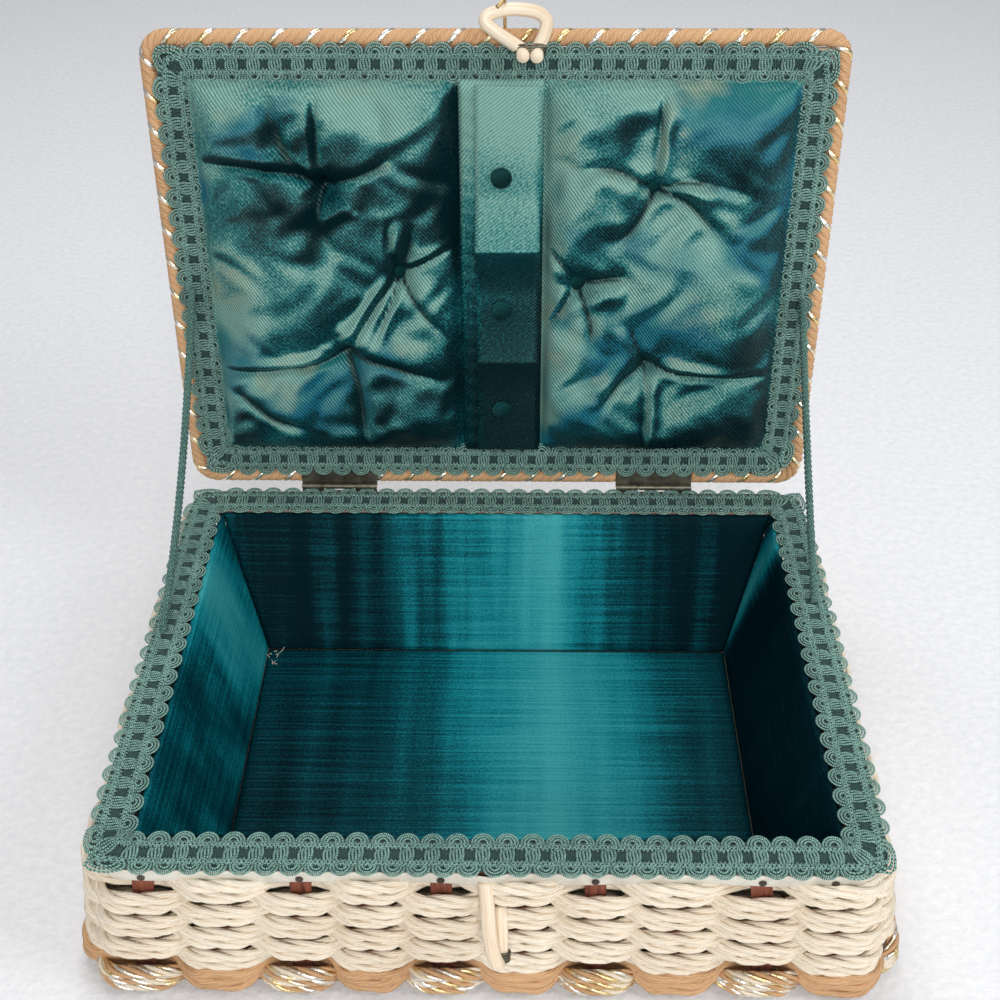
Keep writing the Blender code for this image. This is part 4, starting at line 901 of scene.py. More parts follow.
@dataclass(frozen=True)
class BasketWall:
    """The leaning wall that the stakes stand in."""

    rim_length: float = 0.280
    rim_depth: float = 0.206
    top: float = 0.06775
    inset_x: float = 0.0025
    inset_y: float = 0.0015
    flare_x: float = 0.0110
    flare_y: float = 0.0020
    corner: float = 0.012
    front_shares: tuple[float, ...] = (-0.869, -0.678, -0.470, -0.294, -0.115, 0.086, 0.273, 0.465, 0.690, 0.872)
    side_count: int = 7
    side_reach: float = 0.80

    def half(self, height: float) -> tuple[float, float]:
        """Return the wall's half length and half depth at a height."""
        share = (self.top - height) / self.top
        return (
            self.rim_length / 2 - self.inset_x + self.flare_x * share,
            self.rim_depth / 2 - self.inset_y + self.flare_y * share,
        )

    def lean(self, outward: Array) -> Array:
        """Return how far the wall moves outwards for each metre down."""
        return (self.flare_x * outward[:, 0] ** 2 + self.flare_y * outward[:, 1] ** 2) / self.top

    def side_shares(self) -> tuple[float, ...]:
        """Return the side walls' stake places."""
        last = self.side_count - 1
        return tuple(self.side_reach * (2 * number / last - 1) for number in range(self.side_count))

    def track(self, height: float, step: float) -> Track:
        """Walk round the wall anticlockwise from the front's left end.

        Args:
            height: The height.
            step: The distance between places, rounded to fit.

        Returns:
            The places.
        """
        half_x, half_y = self.half(height)
        bend = math.pi / 2 * self.corner
        runs = (2 * (half_x - self.corner), 2 * (half_y - self.corner)) * 2
        length = sum(runs) + 4 * bend
        arc = np.linspace(0, length, int(round(length / step)), endpoint=False)
        points = np.zeros((len(arc), 3))
        outward = np.zeros((len(arc), 3))
        start = 0.0
        for wall, run in enumerate(runs):
            turn = math.pi / 2 * wall
            forward = np.array([math.cos(turn), math.sin(turn)])
            out = np.array([math.sin(turn), -math.cos(turn)])
            reach = half_y if wall % 2 == 0 else half_x
            on = (arc >= start) & (arc < start + run)
            place = arc[on] - start - run / 2
            points[on, :2] = forward * place[:, None] + out * reach
            outward[on, :2] = out
            centre = forward * run / 2 + out * (reach - self.corner)
            on = (arc >= start + run) & (arc < start + run + bend)
            angle = turn - math.pi / 2 + (arc[on] - start - run) / self.corner
            outward[on, :2] = np.stack([np.cos(angle), np.sin(angle)], 1)
            points[on, :2] = centre + self.corner * outward[on, :2]
            start += run + bend
        points[:, 2] = height
        return Track(points, outward, arc, length)

    def stakes(self, height: float) -> Array:
        """Return the stakes' places along the track at a height."""
        half_x, half_y = self.half(height)
        bend = math.pi / 2 * self.corner
        places = []
        start = 0.0
        for wall in range(4):
            half = half_x if wall % 2 == 0 else half_y
            shares = self.front_shares if wall % 2 == 0 else self.side_shares()
            places.extend(start + half - self.corner + share * half for share in shares)
            start += 2 * (half - self.corner) + bend
        return np.array(places)

    def reach(self, track: Track, height: float, first: int, plateau: float = 0.17) -> Array:
        """Return how a cord passes the stakes: 1 outside of one and -1 behind it.

        Args:
            track: The places round the wall.
            height: The track's height.
            first: The side on which the cord passes the first stake.
            plateau: Share of a bay next to each stake where the cord runs straight.

        Returns:
            A value from -1 to 1 for each place.
        """
        stakes = self.stakes(height)
        signs = first * (-1.0) ** np.arange(len(stakes))
        known = np.concatenate([[stakes[-1] - track.length], stakes, [stakes[0] + track.length]])
        sign = np.concatenate([[signs[-1]], signs, [signs[0]]])
        bay = np.clip(np.searchsorted(known, track.arc, side="right") - 1, 0, len(known) - 2)
        share = (track.arc - known[bay]) / (known[bay + 1] - known[bay])
        share = np.clip((share - plateau) / (1 - 2 * plateau), 0, 1)
        return sign[bay] * np.cos(math.pi * share)


# The woven body


@dataclass
class TwistedCord:
    """Strands twisted round a centre line."""

    strands: int
    strand_radius: float
    spread: float
    pitch: float
    twist: Twist
    sides: int = 6

    def lay(
        self,
        work: CordWork,
        centre: Array,
        out: Array,
        up: Array,
        phase: float,
        closed: bool,
        chosen: Optional[Iterable[int]] = None,
    ) -> None:
        """Lay the strands.

        Args:
            work: The mesh that takes them.
            centre: The cord's centre line.
            out: The direction that counts as the cord's front, for each point.
            up: The direction that counts as up, for each point.
            phase: Where the first strand starts, in turns.
            closed: Whether the cord is a ring.
            chosen: The strands to lay, all of them if not given.
        """
        ends = np.vstack([centre, centre[:1]]) if closed else centre
        length = np.linalg.norm(np.diff(ends, axis=0), axis=1)
        arc = np.concatenate([[0.0], np.cumsum(length)])[: len(centre)]
        total = length.sum()
        turns = total / self.pitch
        if closed:
            turns = round(turns)
        section = round_section(self.strand_radius, self.sides)
        for strand in range(self.strands) if chosen is None else chosen:
            angle = TAU * (self.twist.value * turns * arc / total + phase + strand / self.strands)
            offset = np.cos(angle)[:, None] * out + np.sin(angle)[:, None] * up
            work.lay(centre + self.spread * offset, section, offset, closed)


@dataclass
class Weave:
    """The seven rows of cream cord and the twined foot."""

    wall: BasketWall
    finishes: Finishes
    row_count: int = 7
    rows_bottom: float = 0.0152
    row_height: float = 0.0065
    row_pitch: float = 0.00685
    row_reach: float = 0.0030
    foot_bottom: float = 0.0027
    foot_height: float = 0.0122
    foot_reach: float = 0.0042
    forward: float = 0.22
    step: float = 0.00095

    def build(self) -> None:
        """Make the rows and the foot."""
        for index in range(self.row_count):
            self.row(index)
        self.foot("tan_twine", -1, 1.0)
        self.foot("gilt_twine", 1, -1.0)

    def _lines(
        self, height: float, first: int, reach: float, lifts: Iterable[float], pinch: float, shift: float
    ) -> Iterable[tuple[Array, Array, Array]]:
        """Give the centre lines of the cords that lie over each other in one bundle.

        Args:
            height: The bundle's middle.
            first: The side on which it passes the first stake.
            reach: How far outwards its cords' centres lie at a stake.
            lifts: Each cord's height over the middle where the bundle is fullest.
            pinch: The share of the lifts that is left where the bundle crosses the wall.
            shift: How far the bundle moves up where it crosses the wall.

        Yields:
            Centre line, outward and up directions of each cord.
        """
        track = self.wall.track(height, self.step)
        place = self.wall.reach(track, height, first)
        lean = self.wall.lean(track.outward)
        fullness = pinch + (1 - pinch) * np.abs(place) ** 1.5 * np.where(place > 0, 1.0, 0.6)
        place = place + self.forward * (1 - place**2)
        move = shift * (1 - np.minimum(np.abs(place), 1.0))
        up = np.zeros_like(track.points)
        up[:, 2] = 1.0
        up = unit(up - track.outward * lean[:, None])
        for lift in lifts:
            rise = lift * fullness + move
            out = reach * place * np.where(place > 0, 1.4, 1.0)
            centre = track.points + track.outward * out[:, None] + up * rise[:, None]
            yield centre, track.outward, up

    def row(self, index: int) -> None:
        """Make one row of two twisted cords.

        Args:
            index: The row's number from below, from 0.
        """
        middle = self.rows_bottom + index * self.row_pitch + self.row_height / 2
        first = 1 if (self.row_count - index) % 2 == 0 else -1
        cord = TwistedCord(3, 0.00132, 0.00124, 0.0360, Twist.FALLING)
        work = CordWork()
        lifts = (-0.00262, 0.0034 if index == self.row_count - 1 else 0.00262)
        for number, (centre, out, up) in enumerate(self._lines(middle, first, self.row_reach, lifts, 0.66, 0.0)):
            cord.lay(work, centre, out, up, 0.37 * index + 0.21 * number, True)
        name = f"weave_row_{self.row_count - index}"
        piece = work.piece(name)
        hand_in(piece, f"{name}_cords", self.finishes.cream, Body.BASKET, (name,))

    def foot(self, node: str, first: int, shift: float) -> None:
        """Make one of the two strands of the foot, three cords over each other.

        Args:
            node: The CAD node that it stands for.
            first: The side on which it passes the first stake.
            shift: Whether it moves up or down where the strands cross.
        """
        middle = self.foot_bottom + self.foot_height / 2
        lines = list(
            self._lines(middle, first, self.foot_reach, (-0.0040, 0.0, 0.0040), 0.42, 0.0024 * shift)
        )
        if node == "tan_twine":
            cord = TwistedCord(2, 0.00165, 0.00080, 0.0440, Twist.FALLING)
            work = CordWork()
            for number, (centre, out, up) in enumerate(lines):
                cord.lay(work, centre, out, up, 0.3 * number, True)
            hand_in(work.piece(node), "tan_foot_cords", self.finishes.kraft, Body.BASKET, (node,))
            return
        cord = TwistedCord(6, 0.00086, 0.00172, 0.0280, Twist.FALLING)
        for name, finish, chosen in (
            ("gilt_foot_cords", self.finishes.gilt, (0, 2, 4)),
            ("gilt_foot_core", self.finishes.cream, (1,)),
            ("gilt_foot_fill", self.finishes.kraft, (3, 5)),
        ):
            work = CordWork()
            for number, (centre, out, up) in enumerate(lines):
                cord.lay(work, centre, out, up, 0.27 * number, True, chosen)
            nodes = (node,) if name == "gilt_foot_cords" else ()
            hand_in(work.piece(name), name, finish, Body.BASKET, nodes)


@dataclass
class RimBand:
    """The moulded strip nailed over the stakes' tops."""

    wall: BasketWall
    finishes: Finishes
    bottom: float = 0.0627
    top: float = 0.0679
    inner: float = 0.00105
    thickness: float = 0.0012
    wave: float = 0.00035

    def build(self) -> None:
        """Make the strip, a little wavy along its lower edge, and bulged over the bow."""
        middle = (self.bottom + self.top) / 2
        track = self.wall.track(middle, 0.0016)
        lean = self.wall.lean(track.outward)
        half = (self.top - self.bottom) / 2
        section = np.array(
            [
                (-0.5, -0.86),
                (-0.32, -1.0),
                (0.32, -1.0),
                (0.5, -0.86),
                (0.5, 0.0),
                (0.5, 0.86),
                (0.32, 1.0),
                (-0.32, 1.0),
                (-0.5, 0.86),
                (-0.5, 0.0),
            ]
        )
        section = section * np.array([self.thickness, half])
        up = np.zeros_like(track.points)
        up[:, 2] = 1.0
        up = unit(up - track.outward * lean[:, None])
        offset = self.inner + self.thickness / 2
        centre = track.points + track.outward * offset
        front = (track.points[:, 1] < 0) & (np.abs(track.points[:, 0]) < 0.02)
        bulge = np.exp(-((track.points[:, 0] / 0.0055) ** 2)) * front
        centre = centre + track.outward * (0.0016 * bulge)[:, None]
        work = CordWork()
        work.lay(centre, section, up, True)
        waves = self.wave

        def press(points: Array) -> Array:
            """Press the lower edge into waves."""
            low = points[:, 2] < middle
            moved = points.copy()
            ripple = np.sin(points[:, 0] * 173.0) + np.sin(points[:, 1] * 151.0 + points[:, 0] * 61.0)
            moved[:, 2] += np.where(low, waves * ripple, 0.0)
            return moved

        work.reshape(press)
        hand_in(work.piece("band"), "rim_band_strip", self.finishes.band, Body.BASKET, ("rim_band",))


# Gimp braid


@dataclass
class GimpBraid:
    """Scroll gimp: two scalloped edges, a row of bars between windows kept dark by painted shade, and two chain
    lines.

    It is worked flat, along, across from its inner edge, and up, and then bent round a frame.
    """

    finishes: Finishes
    width: float = 0.0170
    pitch: float = 0.0088
    thread: float = 0.00043
    corner_share: float = 0.62
    scallop: float = 0.0042
    window: float = 0.0036
    flatness: float = 0.72

    def _arch(self, middle: float, foot: float, side: int, radius: float, height: float) -> Array:
        """Return one thread of a scallop.

        Args:
            middle: Its place along the braid.
            foot: Where across it starts.
            side: 1 for the outer edge, -1 for the inner one.
            radius: Its radius.
            height: How high its top lies.

        Returns:
            Its centre line.
        """
        angle = np.linspace(0, math.pi, 9)
        along = middle + radius * np.cos(angle)
        across = foot + side * radius * 0.98 * np.sin(angle)
        lead = np.array([[middle + radius * 0.93, foot - side * 0.0014]])
        tail = np.array([[middle - radius * 0.93, foot - side * 0.0014]])
        flat = np.vstack([lead, np.stack([along, across], 1), tail])
        rise = height + 0.00025 * np.concatenate([[-1.2], np.sin(angle), [-1.2]])
        return np.column_stack([flat, rise])

    def flat_work(self, count: int, pitch: float) -> CordWork:
        """Work the whole braid flat.

        Args:
            count: Number of repeats.
            pitch: Length of one repeat.

        Returns:
            The threads.
        """
        seed = np.random.default_rng(11)
        unit_work = CordWork()
        round_thread = round_section(self.thread, 4)
        fine = round_section(self.thread * 0.9, 4)
        outer, inner = self.width - self.scallop, self.scallop
        for radius, height in ((0.0039, 0.0007), (0.0028, 0.0010), (0.0016, 0.0012)):
            unit_work.lay(self._arch(pitch / 2, outer, 1, radius, height), round_thread)
            unit_work.lay(self._arch(0.0, inner, -1, radius, height), round_thread)
        middle = self.width / 2
        share = np.linspace(-1, 1, 7)
        across = middle + share * (self.window / 2 + 0.0006)
        for place in (-0.0021, -0.0010, 0.0001, 0.0012, 0.0022):
            lean = place + 0.0002 * np.sin(share * math.pi + place * 900)
            rise = 0.0009 + 0.0005 * np.cos(share * 1.4 + place * 500)
            unit_work.lay(np.column_stack([lean, across, rise]), round_thread)
        points = np.vstack(unit_work.points)
        quads = np.vstack(unit_work.quads)
        uv = np.vstack(unit_work.maps)
        work = CordWork()
        for number in range(count):
            moved = points.copy()
            moved[:, 0] += number * pitch + seed.normal(0, 0.00014)
            moved[:, 1] += seed.normal(0, 0.00012)
            moved[:, 2] *= 1 + seed.normal(0, 0.08)
            work.points.append(moved)
            work.quads.append(quads + work.count)
            work.maps.append(uv)
            work.count += len(points)
        length = count * pitch
        along = np.linspace(0, length, count * 16, endpoint=False)
        near, far = middle - self.window / 2, middle + self.window / 2
        for row, offset in (((inner + near) / 2, 0.0), ((outer + far) / 2, 0.5)):
            reach = abs(row - middle) - self.window / 2 + 0.0003
            for phase in (0.0, 0.5):
                swing = TAU * (3 * along / pitch + phase + offset)
                loose = 1 + 0.15 * np.sin(along * 410.0 + phase * 9)
                line = np.column_stack(
                    [
                        along + 0.0005 * np.sin(2 * swing),
                        row + reach * loose * np.sin(swing),
                        0.00125 + 0.0004 * np.cos(2 * swing),
                    ]
                )
                work.lay(line, fine)
        work.points = [np.vstack(work.points) * (1.0, 1.0, self.flatness)]
        return work

    def shade_underlay(self, length: float) -> CordWork:
        """Return the near-black sheet under the threads, painted shade seen through the braid's windows."""
        along = np.linspace(0, length, int(length / 0.0022))
        centre = np.column_stack([along, np.full_like(along, self.width / 2), np.full_like(along, 0.00025)])
        half = self.width / 2 - 0.0026
        section = np.array([(half, -0.00022), (half, 0.00022), (-half, 0.00022), (-half, -0.00022)])
        work = CordWork()
        work.lay(centre, section)
        return work

    def bend(self, hole: tuple[float, float], length: float) -> Callable[[Array], Array]:
        """Return the function that bends flat work round a rectangular hole.

        Args:
            hole: The hole's half length and half depth.
            length: The flat work's whole length.

        Returns:
            A function from flat places to places in plan, with the height kept.
        """
        runs = (2 * hole[0], 2 * hole[1]) * 2
        fan = (length - sum(runs)) / 4

        def change(points: Array) -> Array:
            """Bend all points."""
            arc = np.mod(points[:, 0], length)
            made = np.zeros_like(points)
            made[:, 2] = points[:, 2]
            start = 0.0
            for wall, run in enumerate(runs):
                turn = math.pi / 2 * wall
                forward = np.array([math.cos(turn), math.sin(turn)])
                out = np.array([math.sin(turn), -math.cos(turn)])
                reach = hole[1] if wall % 2 == 0 else hole[0]
                on = (arc >= start) & (arc < start + run)
                place = arc[on] - start - run / 2
                made[on, :2] = forward * place[:, None] + out * (reach + points[on, 1])[:, None]
                corner = forward * run / 2 + out * reach
                on = (arc >= start + run) & (arc < start + run + fan)
                share = (arc[on] - start - run) / fan
                angle = share * math.pi / 2
                square = 1 / np.maximum(np.cos(angle), np.sin(angle))
                stretch = 1 + (square - 1) * self.corner_share
                facing = turn - math.pi / 2 + angle
                ray = np.stack([np.cos(facing), np.sin(facing)], 1)
                made[on, :2] = corner + ray * (points[on, 1] * stretch)[:, None]
                start += run + fan
            return made

        return change

    def fit(
        self,
        name: str,
        hole: tuple[float, float],
        place: Callable[[Array], Array],
        body: Body,
        node: str,
    ) -> None:
        """Make the braid round one hole.

        Args:
            name: The piece's name.
            hole: The hole's half length and half depth.
            place: Puts plan points and heights into the row frame.
            body: The body that it rides on.
            node: The CAD node that it stands for.
        """
        fan = math.pi / 2 * self.width / 2
        length = 4 * (hole[0] + hole[1]) + 4 * fan
        count = round(length / self.pitch)
        threads = self.flat_work(count, length / count)
        shade_sheet = self.shade_underlay(length)
        bend = self.bend(hole, length)
        for work in (threads, shade_sheet):
            work.reshape(lambda points: place(bend(points)))
        hand_in(threads.piece(name), name, self.finishes.gimp, body, (node,))
        # A near-black sheet of painted shade under the threads, seen through the braid's windows.
        hand_in(shade_sheet.piece(f"{name}_ground"), f"{name}_ground", self.finishes.shade, body)


@dataclass
class Trims:
    """The gimp on the rim and on the lid."""

    finishes: Finishes
    axes: LidAxes
    rim_half: tuple[float, float] = (0.1428, 0.1054)
    rim_level: float = 0.06805
    lid_half: float = 0.1366
    lid_near: float = 0.0054
    lid_far: float = 0.1986
    lid_level: float = -0.0013

    def build(self) -> None:
        """Make both braids."""
        braid = GimpBraid(self.finishes, width=0.0182, window=0.0042)
        hole = (self.rim_half[0] - braid.width, self.rim_half[1] - braid.width)

        def on_rim(points: Array) -> Array:
            """Lay the braid on the rim."""
            return points + np.array([0.0, 0.0, self.rim_level])

        braid.fit("rim_braid", hole, on_rim, Body.BASKET, "rim_gimp")
        braid = GimpBraid(self.finishes)
        middle = (self.lid_near + self.lid_far) / 2
        hole = (self.lid_half - braid.width, (self.lid_far - self.lid_near) / 2 - braid.width)

        def on_lid(points: Array) -> Array:
            """Lay the braid on the lid."""
            return self.axes.to_row(points + np.array([0.0, middle, self.lid_level]))

        braid.fit("lid_braid", hole, on_lid, Body.LID, "lid_gimp")


# Lid


@dataclass
class LidShell:
    """The lid's rope border and the weave on its outside."""

    finishes: Finishes
    axes: LidAxes
    rope_half: float = 0.1376
    rope_near: float = 0.0042
    rope_far: float = 0.1996
    rope_level: float = -0.0043
    corner: float = 0.0080
    leaf_level: float = -0.0024
    hinge_offset: float = 0.0729
    hinge_half: float = 0.0182

    def build(self) -> None:
        """Make the border and the outer weave."""
        self.border()
        self.outer_weave()

    def _route(self, step: float) -> tuple[Array, Array]:
        """Return the border's centre line in the lid's axes, and its outward directions."""
        plan = BasketWall(
            rim_length=2 * self.rope_half,
            rim_depth=self.rope_far - self.rope_near,
            inset_x=0.0,
            inset_y=0.0,
            flare_x=0.0,
            flare_y=0.0,
            corner=self.corner,
        )
        track = plan.track(0.0, step)
        points = track.points + np.array([0.0, (self.rope_far + self.rope_near) / 2, self.rope_level])
        return points, track.outward

    def border(self) -> None:
        """Make the rope border of three kraft strands and a gilt one, pressed flat at the hinges."""
        centre, out = self._route(0.0009)
        up = np.broadcast_to(np.array([0.0, 0.0, 1.0]), centre.shape)
        for name, strands, radius, spread, finish in (
            ("lid_border_rope", (0, 1, 2), 0.00178, 0.00178, self.finishes.kraft),
            ("lid_border_gilt", (3,), 0.00135, 0.00225, self.finishes.gilt),
        ):
            cord = TwistedCord(4, radius, spread, 0.0140, Twist.RISING)
            work = CordWork()
            cord.lay(work, centre, out, up, 0.1, True, strands)

            def press(points: Array) -> Array:
                """Press the rope behind the hinge leaves, and set it in the row frame."""
                moved = points.copy()
                near = (points[:, 1] < 0.02) & (
                    np.abs(np.abs(points[:, 0]) - self.hinge_offset) < self.hinge_half
                )
                moved[:, 2] = np.where(near, np.minimum(points[:, 2], self.leaf_level), points[:, 2])
                return self.axes.to_row(moved)

            work.reshape(press)
            nodes = ("lid_rope",) if name == "lid_border_rope" else ()
            hand_in(work.piece(name), name, finish, Body.LID, nodes)

    def outer_weave(self) -> None:
        """Make the rows of cord over the splints on the lid's outside."""
        half = 0.1322
        near, far = 0.0095, 0.1943
        rows = 27
        pitch = (far - near) / rows
        splints = 15
        level = -0.0081
        cord = TwistedCord(2, 0.00150, 0.00110, 0.0118, Twist.FALLING)
        near_work, far_work = CordWork(), CordWork()
        across = np.linspace(-half, half, 280)
        for row in range(rows):
            work = near_work if row <= rows // 2 else far_work
            bay = (across + half) / (2 * half) * splints - 0.5
            place = np.cos(math.pi * bay) * (1 if row % 2 == 0 else -1)
            place = np.sign(place) * np.abs(place) ** 0.6
            centre = np.column_stack(
                [across, np.full_like(across, near + (row + 0.5) * pitch), level + 0.0013 * place]
            )
            out = np.broadcast_to(np.array([0.0, 0.0, -1.0]), centre.shape)
            up = np.broadcast_to(np.array([0.0, 1.0, 0.0]), centre.shape)
            for lift in (-0.00165, 0.00165):
                shifted = centre + np.array([0.0, lift, 0.0])
                cord.lay(work, shifted, out, up, 0.31 * row + lift * 100, False)
        for work, name, nodes in (
            (near_work, "lid_weave_cords", ("lid_weave",)),
            (far_work, "lid_weave_far_cords", ()),
        ):
            work.reshape(self.axes.to_row)
            hand_in(work.piece(name), name, self.finishes.cream, Body.LID, nodes)
        splint_work = CordWork()
        section = np.array([(0.0037, -0.0005), (0.0037, 0.0005), (-0.0037, 0.0005), (-0.0037, -0.0005)])
        for splint in range(splints):
            place = -half + (splint + 0.5) / splints * 2 * half
            line = np.array([(place, near - 0.001, level), (place, (near + far) / 2, level), (place, far + 0.001, level)])
            splint_work.lay(line, section)
        splint_work.reshape(self.axes.to_row)
        hand_in(splint_work.piece("lid_splints"), "lid_splints", self.finishes.stake, Body.LID)


@dataclass(frozen=True)
class Crease:
    """A drawn fold of a padded panel: a valley along a route with a swell on one side.

    Places are across and along the lid from the hinge axis, in millimetres.
    """

    route: tuple[tuple[float, float], ...]
    depth: float
    width: float
    swell: float = 0.0
    side: int = 1


@dataclass(frozen=True)
class PadPlan:
    """One padded panel of the lid."""

    node: str
    low: float
    high: float
    tufts: tuple[tuple[float, float, float], ...]
    creases: tuple[Crease, ...]
    swells: tuple[tuple[float, float, float, float, float, float], ...]


@dataclass
class LidPads:
    """The two padded panels, drawn in at their edges and tufts."""

    finishes: Finishes
    axes: LidAxes
    near: float = 0.0194
    far: float = 0.1845
    level: float = -0.0013
    edge_height: float = 0.0007
    crown: float = 0.0095
    relief: float = 1.5
    crease_share: float = 0.55
    edge_width: float = 0.017
    spacing: float = 0.0015
    pressure: float = 4.0
    furthest: float = 0.0050

    def plans(self) -> tuple[PadPlan, PadPlan]:
        """Return both panels' drawings."""
        left = PadPlan(
            "left_pad",
            -0.1226,
            -0.01425,
            ((-69.5, 142.9, 0.95), (-40.3, 105.6, 1.0), (-64.5, 69.7, 0.95)),
            (
                Crease(((-69.5, 142.9), (-88.0, 150.0), (-122.0, 152.5)), 2.6, 2.6, 1.6, -1),
                Crease(((-69.5, 142.9), (-84.0, 156.0), (-93.0, 184.0)), 2.6, 5.5, 2.2, 1),
                Crease(((-69.5, 142.9), (-71.5, 160.0), (-72.0, 185.0)), 2.2, 1.6, 1.2, 1),
                Crease(((-69.5, 142.9), (-73.0, 128.0), (-66.0, 113.0)), 2.0, 4.0, 1.0, -1),
                Crease(((-69.5, 142.9), (-50.0, 150.0), (-42.0, 156.0)), 1.6, 3.0, 0.8, 1),
                Crease(((-40.3, 105.6), (-44.0, 118.0), (-43.0, 130.0)), 2.4, 1.8, 1.0, -1),
                Crease(((-40.3, 105.6), (-36.0, 116.0), (-35.0, 128.0)), 2.2, 3.6, 0.8, 1),
                Crease(((-40.3, 105.6), (-28.0, 112.0), (-14.0, 119.0)), 2.0, 1.6, 1.0, 1),
                Crease(((-40.3, 105.6), (-52.0, 90.0), (-64.5, 69.7)), 2.4, 1.8, 1.2, -1),
                Crease(((-40.3, 105.6), (-45.0, 92.0), (-53.0, 74.0)), 1.8, 1.5, 1.0, 1),
                Crease(((-40.3, 105.6), (-33.0, 92.0), (-20.0, 75.0)), 1.8, 3.0, 1.0, 1),
                Crease(((-64.5, 69.7), (-85.0, 63.0), (-122.0, 61.0)), 2.8, 2.4, 1.8, -1),
                Crease(((-64.5, 69.7), (-60.0, 50.0), (-58.0, 19.0)), 2.6, 5.0, 1.4, 1),
                Crease(((-64.5, 69.7), (-46.0, 64.0), (-22.0, 56.0)), 1.6, 4.0, 1.0, 1),
                Crease(((-112.0, 50.0), (-98.0, 38.0), (-82.0, 32.0)), 1.8, 4.0, 0.8, 1),
            ),
            (
                (-100.0, 110.0, 20.0, 26.0, 1.6, 0.3),
                (-30.0, 155.0, 18.0, 20.0, 1.5, -0.4),
                (-34.0, 40.0, 18.0, 18.0, 1.7, 0.2),
                (-100.0, 42.0, 16.0, 14.0, 1.0, -0.3),
            ),
        )
        right = PadPlan(
            "right_pad",
            0.01965,
            0.1226,
            ((65.5, 142.3, 0.85), (34.7, 100.9, 1.0), (65.4, 64.6, 0.95)),
            (
                Crease(((65.5, 142.3), (66.0, 162.0), (67.5, 185.0)), 2.2, 1.8, 1.6, -1),
                Crease(((65.5, 142.3), (80.0, 136.0), (97.0, 118.0)), 2.2, 3.2, 1.6, 1),
                Crease(((65.5, 142.3), (80.0, 146.0), (104.0, 140.0)), 1.4, 2.4, 1.2, -1),
                Crease(((65.5, 142.3), (50.0, 150.0), (36.0, 152.0)), 1.8, 3.4, 1.0, 1),
                Crease(((65.5, 142.3), (58.0, 128.0), (50.0, 118.0)), 1.6, 4.4, 1.0, -1),
                Crease(((34.7, 100.9), (28.0, 110.0), (20.0, 118.0)), 2.2, 2.2, 1.0, 1),
                Crease(((34.7, 100.9), (48.0, 104.0), (56.0, 104.0)), 2.4, 4.0, 1.2, -1),
                Crease(((34.7, 100.9), (27.0, 88.0), (20.0, 76.0)), 2.2, 1.8, 1.0, -1),
                Crease(((34.7, 100.9), (40.0, 86.0), (42.0, 70.0)), 1.6, 3.4, 1.0, 1),
                Crease(((65.4, 64.6), (84.0, 60.0), (122.0, 59.0)), 2.6, 2.2, 1.8, 1),
                Crease(((65.4, 64.6), (54.0, 56.0), (46.0, 42.0)), 1.9, 3.2, 1.0, -1),
                Crease(((65.4, 64.6), (66.0, 42.0), (66.0, 19.0)), 2.0, 2.0, 1.2, 1),
                Crease(((65.4, 64.6), (60.0, 76.0), (58.0, 84.0)), 1.6, 2.6, 0.8, 1),
            ),
            (
                (96.0, 98.0, 18.0, 24.0, 1.5, -0.2),
                (36.0, 152.0, 14.0, 18.0, 1.3, 0.3),
                (38.0, 42.0, 14.0, 16.0, 1.4, 0.1),
                (98.0, 34.0, 16.0, 14.0, 1.1, 0.2),
            ),
        )
        return left, right

    def _drawn(self, across: Array, along: Array, crease: Crease) -> tuple[Array, Array]:
        """Return one crease's change of height in metres, and its valley from 0 to 1, also used for painted shade.

        Args:
            across: Places across, in millimetres.
            along: Places along, in millimetres.
            crease: The crease.

        Returns:
            The change and the valley's strength at each place.
        """
        wide = crease.width * self.crease_share
        line = curve_through([(x, y, 0.0) for x, y in crease.route], 8)[:, :2]
        best = np.full(across.shape, 1e9)
        signed = np.zeros(across.shape)
        share_at = np.zeros(across.shape)
        pieces = len(line) - 1
        for number, (start, end) in enumerate(zip(line, line[1:])):
            step = end - start
            length2 = float(step @ step)
            t = np.clip(((across - start[0]) * step[0] + (along - start[1]) * step[1]) / length2, 0, 1)
            dx = across - start[0] - t * step[0]
            dy = along - start[1] - t * step[1]
            distance = np.hypot(dx, dy)
            nearer = distance < best
            best = np.where(nearer, distance, best)
            cross = step[0] * dy - step[1] * dx
            signed = np.where(nearer, np.sign(cross) * distance, signed)
            share_at = np.where(nearer, (number + t) / pieces, share_at)
        fade = np.clip((1 - share_at) * 3.0, 0, 1) ** 0.7
        valley_shade = np.exp(-np.abs(best / wide) ** 1.5) * fade
        bank = np.exp(-(((signed * crease.side - crease.width * 1.7) / (crease.width * 1.25)) ** 2))
        return 0.001 * (crease.swell * bank * fade - crease.depth * valley_shade), valley_shade

